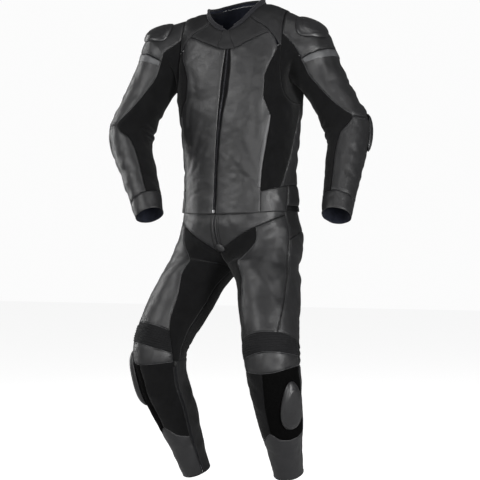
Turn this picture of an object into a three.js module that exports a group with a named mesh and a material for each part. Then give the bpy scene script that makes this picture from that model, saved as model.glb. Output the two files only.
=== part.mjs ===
// Two-piece leather race suit, worn by nobody but filled out, in a slight riding crouch.
// Millimetres, +Z up, the front faces -Y and the wearer's left is +X.
// The origin is the centre of the neck base, where the wearer's shoulders carry the suit.
import * as THREE from 'three';

// Driving sizes of cloth and seams
const WALL = 2.0;
const SEAM_GAP = 0.36;
const GROIN_GAP = 0.7;
const ARMHOLE_GAP = 3;
const LAY_GAP = 0.35;
const KEEP_CLEAR = 1.5;
const WELD = 0.06;
const NORMAL_STEP = 0.35;
const CROTCH_SLIT = 0.06;
const ZIP_ROUND = 2;
const RIB_PITCH = 4.8;
const RIB_HEIGHT = 1.8;

// Finishes
const FINISH = {
  leather: { color: 0x26272a, roughness: 0.45, metalness: 0 },
  stretch: { color: 0x0d0d0f, roughness: 0.85, metalness: 0 },
  trim: { color: 0x77797d, roughness: 0.5, metalness: 0 },
  slider: { color: 0x17181a, roughness: 0.3, metalness: 0 },
  zip: { color: 0x08080a, roughness: 0.4, metalness: 0.2 },
  hook_pile: { color: 0x111113, roughness: 0.95, metalness: 0 },
};

// Short tables with named columns
function table(columns, rows) {
  const names = columns.split(' ');
  return rows.map((row) => Object.fromEntries(names.map((name, i) => [name, row[i]])));
}

// Torso sections from the collar edge to the hem. v runs down the cloth, turn twists a section,
// square fills out its corners and lean lowers the right shoulder.
const TORSO_COLUMNS = 24;
const COLLAR_ROWS = [-34, -26, -13];
const TORSO_ROWS = [0, 36, 72, 108, 150, 200, 250, 308, 364, 420, 476, 520, 560, 596];
const TORSO = table('v half front back zSide zFront zBack turn square lean', [
  [-34, 82, 82, 65, 22, -50, 36, -10, 2.0, 0.14],
  [-26, 84, 84.5, 67, 19, -54, 33, -10, 2.0, 0.14],
  [0, 89, 91, 71, 10, -62, 24, -10, 2.0, 0.13],
  [35, 108, 102, 84, 6, -84, 2, -10, 2.2, 0.1],
  [85, 150, 116, 98, -12, -120, -45, -12, 2.6, 0.045],
  [150, 176, 126, 110, -80, -172, -120, -10, 2.9, 0.04],
  [230, 184, 132, 118, -170, -235, -205, -6, 2.9, 0.02],
  [300, 184, 134, 118, -262, -292, -285, -2, 2.6, 0],
  [380, 178, 132, 112, -365, -375, -370, 3, 2.4, 0],
  [480, 174, 130, 106, -475, -480, -478, 7, 2.3, 0],
  [560, 178, 134, 116, -546, -553, -550, 8, 2.3, 0],
  [596, 180, 137, 119, -579, -588, -582, 8, 2.3, 0],
]);
const TORSO_CENTRE = table('v x y', [
  [-34, 2, 3],
  [0, 2, 3],
  [85, 5, 9],
  [230, 8, 15],
  [596, 10, 18],
]);
const TORSO_AROUND = 980;
const ARMHOLE_RADIUS = 110;
const ARMHOLE_BLEND = 50;
const ARMHOLE = { round: 90, v: 190, up: 105, down: 118, front: 37.8, back: 36, square: 2.3 };

// Sleeves: joints of the bent arm, then the tube's half sizes along it (0 shoulder, 1 elbow, 2 wrist)
const SLEEVE_AROUND = 410;
const SLEEVE_COLUMNS = 14;
const SLEEVE_ROWS = [ARMHOLE_GAP, 40, 78, 114, 156, 198, 236, 270, 302, 338, 380, 440, 500, 540, 590];
const SLEEVE_BEND = 0.2;
const CAP_SPREAD = 0.75;
const ARM = {
  left: { side: 1, shoulder: [176, 58, -84], elbow: [340, 53, -345], wrist: [367, -101, -594] },
  right: { side: -1, shoulder: [-180, -29, -80], elbow: [-299, -106, -350], wrist: [-178, -188, -590] },
};
const SLEEVE = table('v along up across', [
  [70, 0.18, 88, 88],
  [150, 0.45, 67, 72],
  [230, 0.72, 63, 66],
  [300, 0.98, 66, 65],
  [370, 1.22, 58, 58],
  [450, 1.5, 52, 52],
  [530, 1.78, 46, 46],
  [590, 2.0, 41, 42],
]);

// Trousers: hip sections that part into two thighs as share goes from 0 to 1, then each leg
const LEG_AROUND = 520;
const LEG_COLUMNS = 14;
const LEG_ROWS = [
  40, 74, 108, 138, 152, 166, 180, 194, 222, 250, 290, 330,
  366, 398, 430, 460, 490, 530, 590, 650, 700, 750, 800,
];
const LEG_BEND = 0.22;
const LEG_DROP = new THREE.Vector3(0, 0, -1);
const HIP = { turn: 8, x: 10, y: 18, square: 2.3 };
const PELVIS = table('v share half front back out fore side deep tilt zSide zFront zBack', [
  [40, 0, 173.7, 130.7, 112.7, 90, 10, 90, 95, 0, -563, -571, -566],
  [62, 0, 175.7, 131.7, 113.7, 90, 10, 90, 95, 0, -584, -594, -588],
  [82, 0, 180, 134, 117, 90, 10, 90, 95, 0, -604, -615, -608],
  [120, 0.1, 191, 134, 122, 96, 22, 94, 110, 4, -636, -660, -652],
  [166, 0.32, 198, 132, 124, 99, 28, 98, 112, 10, -670, -704, -699],
  [210, 0.7, 201, 130, 122, 102, 34, 101, 107, 14, -700, -735, -734],
  [250, 1, 204, 120, 110, 104, 39, 103, 101, 18, -729, -742, -742],
]);
const LEG_POSE = {
  left: { side: 1, hip: [88, 0, -653], knee: [218, 160, -1000], ankle: [185, 30, -1320] },
  right: { side: -1, hip: [88, 0, -653], knee: [186, 176, -985], ankle: [154, 15, -1340] },
};
const LEG = table('v along side deep', [
  [290, 0.36, 90, 100],
  [336, 0.54, 85, 94],
  [400, 0.8, 79, 84],
  [470, 1.0, 77, 80],
  [540, 1.2, 72, 74],
  [640, 1.5, 63, 66],
  [740, 1.8, 48, 50],
  [800, 2.0, 42, 44],
]);

// Seams. A lengthwise seam gives its place round the cloth in degrees at each v,
// a crosswise seam gives its v at each place round.
const lengthwise = (...rows) => ({ lengthwise: true, rows: table('v round', rows) });
const crosswise = (...rows) => ({ lengthwise: false, rows: table('v round', rows) });
const turned = (rows, turn) => rows.map(([v, round]) => [v, round + turn]);
const allRound = (...rows) => crosswise(...turned(rows, -360), ...rows, ...turned(rows, 360));
const SEAMS = {
  // jacket body
  zip_edge: lengthwise([-40, ZIP_ROUND], [600, ZIP_ROUND]),
  collar_front: lengthwise([-34, 14], [-26, 9], [-12, 3], [0, 1]),
  shoulder_front: lengthwise([0, 43], [85, 44], [160, 52]),
  yoke_point: crosswise([84, 0], [72, 18], [82, 36], [112, 52]),
  yoke_low: crosswise([150, 40], [150, 80], [136, 120], [128, 180], [136, 240], [150, 280], [150, 320]),
  front_edge: lengthwise(
    [84, 44], [150, 48], [180, 38], [220, 32], [265, 34], [308, 43], [332, 49], [364, 50], [416, 49],
    [524, 47], [600, 47],
  ),
  side_back: lengthwise([280, 98], [366, 92], [416, 88], [467, 82], [524, 72]),
  waist_seam: crosswise([532, 44], [524, 60], [514, 90], [512, 130], [512, 230], [514, 270], [524, 300]),
  hem_split: lengthwise([500, 86], [600, 81]),
  pocket_edge: lengthwise([300, 44.6], [600, 42.4]),
  flap_left: lengthwise([0, 5], [100, 4.5]),
  flap_right: lengthwise([0, -8], [100, -8.5]),
  flap_low: crosswise([66, -9], [82, -4], [86, 5]),
  // sleeve
  sleeve_outer: lengthwise(
    [0, 54], [24, 66], [90, 95], [130, 96], [190, 88], [236, 78], [280, 60], [302, 46], [322, 56],
    [360, 80], [430, 90], [600, 88],
  ),
  cap_low: crosswise([90, -110], [107, -65], [114, 0], [107, 65], [90, 110]),
  elbow: crosswise([302, 0], [302, 90]),
  cuff_top: allRound([543, 0], [538, 90], [535, 180], [538, 270]),
  // trousers
  belly_point: crosswise([156, 0], [128, 30], [106, 60], [90, 94], [76, 130], [66, 165]),
  inner_edge: {
    ...lengthwise(
      [40, 80], [100, 82], [140, 84], [200, 76], [250, 79], [290, 73], [345, 56], [405, 42], [430, 32],
      [465, 22], [520, 17],
    ),
    gap: GROIN_GAP,
  },
  side_seam: lengthwise([40, 160], [160, 160], [243, 167], [330, 157], [380, 146], [440, 128]),
  hip_seam: crosswise([154, 160], [128, 190], [112, 240], [106, 300], [106, 360]),
  rib_top: crosswise([408, 20], [412, 90], [416, 140], [420, 210]),
  rib_low: crosswise([463, 15], [455, 60], [451, 110], [457, 160], [462, 210]),
  knee_outer: lengthwise([380, 198], [700, 200], [800, 204]),
  knee_low: allRound([486, 0], [490, 60], [494, 110], [488, 180], [486, 270]),
  field_edge: lengthwise([480, 103], [550, 97], [610, 95], [700, 97]),
  shin_low: crosswise([702, 15], [684, 60], [656, 96], [674, 118], [682, 160], [680, 205]),
  calf_zip: lengthwise([480, 17], [615, 19], [700, 24], [800, 22]),
};

// Small mathematics
const degrees = (turn) => (turn * Math.PI) / 180;
const spread = (x, square) => Math.sign(x) * Math.abs(x) ** (2 / square);
const vec = (list) => new THREE.Vector3(...list);

function slopes(at, xs, ys) {
  // Slope of the smooth curve at each of its rows, without overshoot.
  const steps = xs.slice(1).map((x, i) => (ys[i + 1] - ys[i]) / (x - xs[i]));
  if (at === 0) return steps[0];
  if (at === xs.length - 1) return steps[at - 1];
  const [before, after] = [steps[at - 1], steps[at]];
  if (before * after <= 0) return 0;
  const gapAfter = xs[at + 1] - xs[at];
  const gapBefore = xs[at] - xs[at - 1];
  const w1 = 2 * gapAfter + gapBefore;
  const w2 = gapAfter + 2 * gapBefore;
  return (w1 + w2) / (w1 / before + w2 / after);
}

function smoothRow(xs, ys, x) {
  const inside = Math.min(Math.max(x, xs[0]), xs[xs.length - 1]);
  let k = 0;
  while (k < xs.length - 2 && inside > xs[k + 1]) k += 1;
  const h = xs[k + 1] - xs[k];
  const t = (inside - xs[k]) / h;
  const rise0 = slopes(k, xs, ys) * h;
  const rise1 = slopes(k + 1, xs, ys) * h;
  return (
    (2 * t ** 3 - 3 * t ** 2 + 1) * ys[k] +
    (t ** 3 - 2 * t ** 2 + t) * rise0 +
    (-2 * t ** 3 + 3 * t ** 2) * ys[k + 1] +
    (t ** 3 - t ** 2) * rise1
  );
}

function loft(stations, rings, round, v) {
  // Smooth cloth through closed rings, each a function of the place round it.
  const inside = Math.min(Math.max(v, stations[0]), stations[stations.length - 1]);
  let k = 0;
  while (k < stations.length - 2 && inside > stations[k + 1]) k += 1;
  const first = Math.max(0, k - 1);
  const last = Math.min(stations.length - 1, k + 2);
  const xs = stations.slice(first, last + 1);
  const points = rings.slice(first, last + 1).map((ring) => ring(round));
  const along = (axis) => smoothRow(xs, points.map((p) => p[axis]), inside);
  return new THREE.Vector3(along('x'), along('y'), along('z'));
}

function straight(rows, key, v) {
  const k = Math.min(Math.max(rows.findIndex((row) => row.v >= v), 1), rows.length - 1);
  const t = Math.min(Math.max((v - rows[k - 1].v) / (rows[k].v - rows[k - 1].v), 0), 1);
  return rows[k - 1][key] + (rows[k][key] - rows[k - 1][key]) * t;
}

// Torso surface
function torsoRing(row) {
  const cx = straight(TORSO_CENTRE, 'x', row.v);
  const cy = straight(TORSO_CENTRE, 'y', row.v);
  const turn = degrees(row.turn);
  return (round) => {
    const s = Math.sin(degrees(round));
    const c = Math.cos(degrees(round));
    const x = row.half * spread(s, row.square);
    const y = -(c > 0 ? row.front : row.back) * spread(c, row.square);
    const z = row.zSide + ((c > 0 ? row.zFront : row.zBack) - row.zSide) * c * c + row.lean * x;
    return new THREE.Vector3(
      cx + x * Math.cos(turn) + y * Math.sin(turn),
      cy - x * Math.sin(turn) + y * Math.cos(turn),
      z,
    );
  };
}
const torsoStations = TORSO.map((row) => row.v);
const torsoRings = TORSO.map(torsoRing);
const torsoPoint = (round, v) => loft(torsoStations, torsoRings, round, v);

// Sleeve surfaces, which start on the armhole of the torso
function armhole(turn) {
  const c = Math.cos(degrees(turn));
  const s = Math.sin(degrees(turn));
  const reach = c > 0 ? ARMHOLE.up : ARMHOLE.down;
  const width = s > 0 ? ARMHOLE.front : ARMHOLE.back;
  return {
    round: ARMHOLE.round - width * spread(s, ARMHOLE.square),
    v: ARMHOLE.v - reach * spread(c, ARMHOLE.square),
  };
}

function limb(points, bend, along) {
  // A bent centre line through three joints, rounded at the middle one.
  const [start, middle, end] = points;
  const first = middle.clone().sub(start);
  const second = end.clone().sub(middle);
  if (along <= 1 - bend) {
    return { at: start.clone().addScaledVector(first, along), way: first.normalize() };
  }
  if (along >= 1 + bend) {
    return { at: middle.clone().addScaledVector(second, along - 1), way: second.normalize() };
  }
  const t = (along - 1 + bend) / (2 * bend);
  const enter = start.clone().addScaledVector(first, 1 - bend);
  const leave = middle.clone().addScaledVector(second, bend);
  const curve = new THREE.QuadraticBezierCurve3(enter, middle, leave);
  return { at: curve.getPoint(t), way: curve.getTangent(t).normalize() };
}

function squareTo(direction, way) {
  return direction.clone().addScaledVector(way, -direction.dot(way)).normalize();
}

function sleeveRings(arm) {
  const joints = [vec(arm.shoulder), vec(arm.elbow), vec(arm.wrist)];
  const rings = [(turn) => {
    const place = armhole(turn);
    return torsoPoint(arm.side * place.round, place.v);
  }];
  let top = new THREE.Vector3(0, 0, 1);
  for (const row of SLEEVE) {
    const line = limb(joints, SLEEVE_BEND, row.along);
    if (row === SLEEVE[0]) {
      line.way.addScaledVector(new THREE.Vector3(arm.side * 0.97, 0.2 * arm.side, 0), CAP_SPREAD).normalize();
    }
    top = squareTo(top, line.way);
    const up = top.clone();
    const front = new THREE.Vector3().crossVectors(up, line.way);
    if (front.y > 0) front.negate();
    rings.push((turn) => line.at.clone()
      .addScaledVector(up, row.up * Math.cos(degrees(turn)))
      .addScaledVector(front, row.across * Math.sin(degrees(turn))));
  }
  return rings;
}

// Leg surfaces
function hipFrame(side, out, fore, z) {
  const turn = degrees(HIP.turn);
  const x = side * out;
  const y = -fore;
  return new THREE.Vector3(
    HIP.x + x * Math.cos(turn) + y * Math.sin(turn),
    HIP.y - x * Math.sin(turn) + y * Math.cos(turn),
    z,
  );
}

function legRings(pose, slit) {
  const { side } = pose;
  const opened = (round) => slit + (round / 360) * (360 - 2 * slit);
  const rings = PELVIS.map((row) => (round) => {
    const half = degrees(opened(round) / 2);
    const full = degrees(opened(round));
    const front = round < 180;
    const hipOut = row.half * spread(Math.sin(half), HIP.square);
    const hipFore = (front ? row.front : row.back) * spread(Math.cos(half), HIP.square);
    const out = (1 - row.share) * hipOut + row.share * (row.out - row.side * Math.cos(full));
    const fore = (1 - row.share) * hipFore + row.share * (row.fore + row.deep * Math.sin(full));
    const middleDrop = ((front ? row.zFront : row.zBack) - row.zSide) * Math.cos(half) ** 2;
    const z = row.zSide + middleDrop + row.tilt * Math.sin(full);
    return hipFrame(side, out + SEAM_GAP / 2, fore, z);
  });
  const joints = [pose.hip, pose.knee, pose.ankle].map(([out, fore, z]) => hipFrame(side, out, fore, z));
  const inward = hipFrame(side, -1, 0, 0).sub(hipFrame(side, 0, 0, 0));
  for (const row of LEG) {
    const line = limb(joints, LEG_BEND, row.along);
    if (row === LEG[0]) line.way.add(LEG_DROP).normalize();
    const inner = squareTo(inward, line.way);
    const front = new THREE.Vector3().crossVectors(inner, line.way);
    if (front.y > 0) front.negate();
    rings.push((round) => line.at.clone()
      .addScaledVector(inner, row.side * Math.cos(degrees(opened(round))))
      .addScaledVector(front, row.deep * Math.sin(degrees(opened(round)))));
  }
  return rings;
}

// A chart is one surface of cloth with its own grid. mirrored says that round runs the other way.
function makeChart({ point, columns, rows, around, mirrored }) {
  function normal(round, v) {
    const across = point(round + NORMAL_STEP, v).sub(point(round - NORMAL_STEP, v));
    const low = Math.max(v - 1, rows[0]);
    const high = Math.min(v + 1, rows[rows.length - 1]);
    const down = point(round, high).sub(point(round, low));
    const out = new THREE.Vector3().crossVectors(down, across).normalize();
    return mirrored ? out.negate() : out;
  }
  return { point, normal, columns, rows, around, mirrored };
}

const SIDES = ['left', 'right'];
const sign = { left: 1, right: -1 };
const charts = {};
for (const side of SIDES) {
  charts[`torso_${side}`] = makeChart({
    point: (round, v) => torsoPoint(sign[side] * round, v),
    columns: TORSO_COLUMNS,
    rows: [...COLLAR_ROWS, ...TORSO_ROWS],
    around: TORSO_AROUND,
    mirrored: side === 'right',
  });
  const rings = sleeveRings(ARM[side]);
  const stations = [0, ...SLEEVE.map((row) => row.v)];
  const sleeve = makeChart({
    point: (round, v) => loft(stations, rings, round, v),
    columns: SLEEVE_COLUMNS,
    rows: SLEEVE_ROWS,
    around: SLEEVE_AROUND,
    mirrored: side === 'left',
  });
  const tubeNormal = sleeve.normal;
  const torsoChart = charts[`torso_${side}`];
  sleeve.normal = (round, v) => {
    // The wall leaves the armhole in line with the torso's wall.
    const share = Math.min(v / ARMHOLE_BLEND, 1);
    const blend = share * share * (3 - 2 * share);
    if (blend >= 1) return tubeNormal(round, v);
    const place = armhole(round);
    return torsoChart.normal(place.round, place.v).lerp(tubeNormal(round, v), blend).normalize();
  };
  charts[`sleeve_${side}`] = sleeve;
  for (const [name, slit] of [['thigh', CROTCH_SLIT], ['shin', 0]]) {
    const legStations = [...PELVIS, ...LEG].map((row) => row.v);
    const lofted = legRings(LEG_POSE[side], slit);
    charts[`${name}_${side}`] = makeChart({
      point: (round, v) => loft(legStations, lofted, round, v),
      columns: LEG_COLUMNS,
      rows: LEG_ROWS,
      around: LEG_AROUND,
      mirrored: side === 'right',
    });
  }
}

// Edges of a piece: distance to a seam in millimetres on the flat cloth
function seamValue(chart, edge, round, v) {
  if (edge.oval) {
    const { at, wide, tall, square } = edge.oval;
    const x = ((round - at.round) * chart.around) / 360 / wide;
    const y = (v - at.v) / tall;
    const reach = (Math.abs(x) ** square + Math.abs(y) ** square) ** (1 / square);
    return (1 - reach) * Math.min(wide, tall);
  }
  const place = edge.mirrorAt === undefined ? round - (edge.from ?? 0) : edge.mirrorAt - round;
  if (edge.armhole) {
    const s = (ARMHOLE.round - place) / (place < ARMHOLE.round ? ARMHOLE.front : ARMHOLE.back);
    const c = (ARMHOLE.v - v) / (v < ARMHOLE.v ? ARMHOLE.up : ARMHOLE.down);
    const reach = (Math.abs(s) ** ARMHOLE.square + Math.abs(c) ** ARMHOLE.square) ** (1 / ARMHOLE.square);
    return (reach - 1) * ARMHOLE_RADIUS;
  }
  const { lengthwise, rows } = SEAMS[edge.seam];
  const keys = rows.map((row) => (lengthwise ? row.v : row.round));
  const values = rows.map((row) => (lengthwise ? row.round : row.v));
  return lengthwise
    ? (place - smoothRow(keys, values, v)) * (chart.around / 360)
    : v - smoothRow(keys, values, place);
}

function keepOff(value) {
  return Math.abs(value) < KEEP_CLEAR ? (value < 0 ? -KEEP_CLEAR : KEEP_CLEAR) : value;
}

function edgeValue(piece, edge, round, v) {
  // A piece with finer rows of its own still shares its neighbours' straight steps along a seam.
  const { chart } = piece;
  if (!piece.finer) return keepOff(seamValue(chart, edge, round, v));
  const next = chart.rows.findIndex((row) => row >= v);
  const [low, high] = [chart.rows[next - 1], chart.rows[next]];
  const t = (v - low) / (high - low);
  const [atLow, atHigh] = [low, high].map((row) => keepOff(seamValue(chart, edge, round, row)));
  return (1 - t) * atLow + t * atHigh;
}

function armholeCrossing(chart, edge, a, b, level) {
  // Share of the way from a to b at which the armhole is met.
  const value = (t) => {
    const round = a.round + (b.round - a.round) * t;
    return seamValue(chart, edge, round, a.v + (b.v - a.v) * t) - level;
  };
  if (value(0) > 0 === value(1) > 0) return undefined;
  let [low, high] = value(0) > 0 ? [1, 0] : [0, 1];
  for (let i = 0; i < 24; i += 1) {
    const middle = (low + high) / 2;
    if (value(middle) > 0) high = middle;
    else low = middle;
  }
  return Math.min(Math.max(high, 0.03), 0.97);
}

function clip(cells, corners, index, keepAbove, level, exact) {
  // Cuts every cell along one seam. Corners on the cut are shared by the cells beside it,
  // and exact, where given, finds the true curve between two corners.
  const made = new Map();
  const value = (id) => (keepAbove ? corners[id].edges[index] : -corners[id].edges[index]) - level;
  const crossing = (a, b) => {
    const key = a < b ? `${a}_${b}` : `${b}_${a}`;
    if (!made.has(key)) {
      let t = value(a) / (value(a) - value(b));
      if (exact) t = exact(corners[a], corners[b], level) ?? t;
      const mix = (x, y) => x + (y - x) * t;
      corners.push({
        round: mix(corners[a].round, corners[b].round),
        v: mix(corners[a].v, corners[b].v),
        edges: corners[a].edges.map((edge, i) => mix(edge, corners[b].edges[i])),
      });
      made.set(key, corners.length - 1);
    }
    return made.get(key);
  };
  const kept = [];
  for (const cell of cells) {
    const result = [];
    cell.forEach((a, i) => {
      const b = cell[(i + 1) % cell.length];
      if (value(a) > 0) result.push(a);
      if (value(a) > 0 !== value(b) > 0) result.push(crossing(a, b));
    });
    if (result.length > 2) kept.push(result);
  }
  return kept;
}

function cutPiece(piece) {
  // The piece's flat cells: the chart's grid inside its window, cut along its seams.
  const { chart, window, edges } = piece;
  const step = 360 / (piece.columns ?? chart.columns);
  const allRows = piece.rows ?? chart.rows;
  const above = allRows.filter((v) => v <= window.v[0]).length - 1;
  const below = allRows.findIndex((v) => v >= window.v[1]);
  const rows = allRows.slice(Math.max(above, 0), below < 0 ? allRows.length : below + 1);
  const first = Math.floor(window.round[0] / step + 1e-6);
  const last = Math.ceil(window.round[1] / step - 1e-6);
  const corners = [];
  const wide = last - first + 1;
  for (const v of rows) {
    for (let i = first; i <= last; i += 1) {
      const round = i * step;
      corners.push({ round, v, edges: edges.map((edge) => edgeValue(piece, edge, round, v)) });
    }
  }
  let cells = [];
  for (let r = 0; r < rows.length - 1; r += 1) {
    for (let i = 0; i < wide - 1; i += 1) {
      const a = r * wide + i;
      const [b, c, d] = [a + 1, a + wide, a + wide + 1];
      const middle = (first + i + 0.5) * step;
      const slant = Math.sin(degrees(middle)) > 0;
      if (slant) cells.push([a, c, d], [a, d, b]);
      else cells.push([a, c, b], [b, c, d]);
    }
  }
  edges.forEach((edge, index) => {
    const exact = edge.armhole ? (a, b, level) => armholeCrossing(chart, edge, a, b, level) : undefined;
    const gap = SEAMS[edge.seam]?.gap ?? SEAM_GAP;
    cells = clip(cells, corners, index, edge.keep > 0, gap / 2, exact);
  });
  return { cells, corners };
}

function wallGeometry(piece) {
  // Outer and inner faces over the same cells, joined round every open edge.
  const { chart } = piece;
  const { cells, corners } = cutPiece(piece);
  const outer = piece.outer ?? (() => 0);
  const inner = piece.inner ?? -WALL;
  const used = new Map();
  const positions = [];
  const place = (id) => {
    if (used.has(id)) return used.get(id);
    const { round, v } = corners[id];
    const point = chart.point(round, v);
    const normal = chart.normal(round, v);
    const top = point.clone().addScaledVector(normal, outer(round, v));
    const same = positions.findIndex((other) => other.point.distanceTo(point) < WELD);
    if (same >= 0) {
      used.set(id, same);
      return same;
    }
    positions.push({ point, top, bottom: point.clone().addScaledVector(normal, inner) });
    used.set(id, positions.length - 1);
    return positions.length - 1;
  };
  const faces = [];
  for (const cell of cells) {
    const ring = cell.map(place).filter((id, i, list) => id !== list[(i + 1) % list.length]);
    for (let i = 1; i < ring.length - 1; i += 1) {
      const face = [ring[0], ring[i], ring[i + 1]];
      if (new Set(face).size === 3) faces.push(chart.mirrored ? [face[0], face[2], face[1]] : face);
    }
  }
  const count = positions.length;
  const sides = new Set(faces.flatMap(([a, b, c]) => [`${a}_${b}`, `${b}_${c}`, `${c}_${a}`]));
  const triangles = [];
  for (const [a, b, c] of faces) {
    triangles.push(a, b, c, a + count, c + count, b + count);
    for (const [from, to] of [[a, b], [b, c], [c, a]]) {
      if (!sides.has(`${to}_${from}`)) {
        triangles.push(from, from + count, to, to, from + count, to + count);
      }
    }
  }
  const vertices = [...positions.map((p) => p.top), ...positions.map((p) => p.bottom)];
  const geometry = new THREE.BufferGeometry();
  const numbers = vertices.flatMap((p) => p.toArray());
  geometry.setAttribute('position', new THREE.Float32BufferAttribute(numbers, 3));
  geometry.setIndex(triangles);
  geometry.computeVertexNormals();
  return geometry;
}

// Hard sliders: a domed plate with a rounded outline, lying on the cloth
const SLIDER_GAP = 0.5;
const SHOULDER_SLIDER = {
  at: { round: 20, v: 56 }, wide: 40, tall: 34, square: 2.3, base: 3, dome: 7, columns: 40,
};
const ELBOW_SLIDER = {
  at: { round: -36, v: 326 }, wide: 24, tall: 46, square: 2.3, base: 3, dome: 7, columns: 60,
};
const KNEE_SLIDER = {
  at: { round: 158, v: 582 }, wide: 40, tall: 66, square: 2.2, base: 5, dome: 12, columns: 48,
};
const KNEE_SLIDER_V = { left: 582, right: 537 };
function puck(chart, oval) {
  const step = oval.tall / 3.5;
  const rows = Array.from({ length: 9 }, (_, i) => oval.at.v + (i - 4) * step);
  const columns = oval.columns;
  const edge = { oval, keep: 1 };
  const reach = (turn, v) => 1 - seamValue(chart, edge, turn, v) / Math.min(oval.wide, oval.tall);
  const degreesWide = (oval.wide * 360) / chart.around + 360 / columns;
  return {
    chart, columns, rows, edges: [edge], inner: SLIDER_GAP,
    window: { v: [rows[0], rows[8]], round: [oval.at.round - degreesWide, oval.at.round + degreesWide] },
    outer: (turn, v) => oval.base + oval.dome * Math.sqrt(Math.max(0, 1 - reach(turn, v) ** 2)),
  };
}

// Accordion knee: ribs across the leg, a crest and a trough in turn
const RIB_START = 404;
const RIB_ROWS = Array.from({ length: 28 }, (_, i) => RIB_START + (i * RIB_PITCH) / 2);
const ribHeight = (turn, v) => (RIB_HEIGHT / 2) * (1 - Math.cos((2 * Math.PI * (v - RIB_START)) / RIB_PITCH));

// Pieces
const suit = new THREE.Group();
function sew(name, finish, piece) {
  const mesh = new THREE.Mesh(wallGeometry(piece), new THREE.MeshStandardMaterial(FINISH[finish]));
  mesh.name = name;
  suit.add(mesh);
}
const keep = (seam, side, more = {}) => ({ seam, keep: side, ...more });
const after = (seam, more) => keep(seam, 1, more);
const before = (seam, more) => keep(seam, -1, more);
const offArmhole = (more = {}) => ({ armhole: true, keep: 1, ...more });

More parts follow.
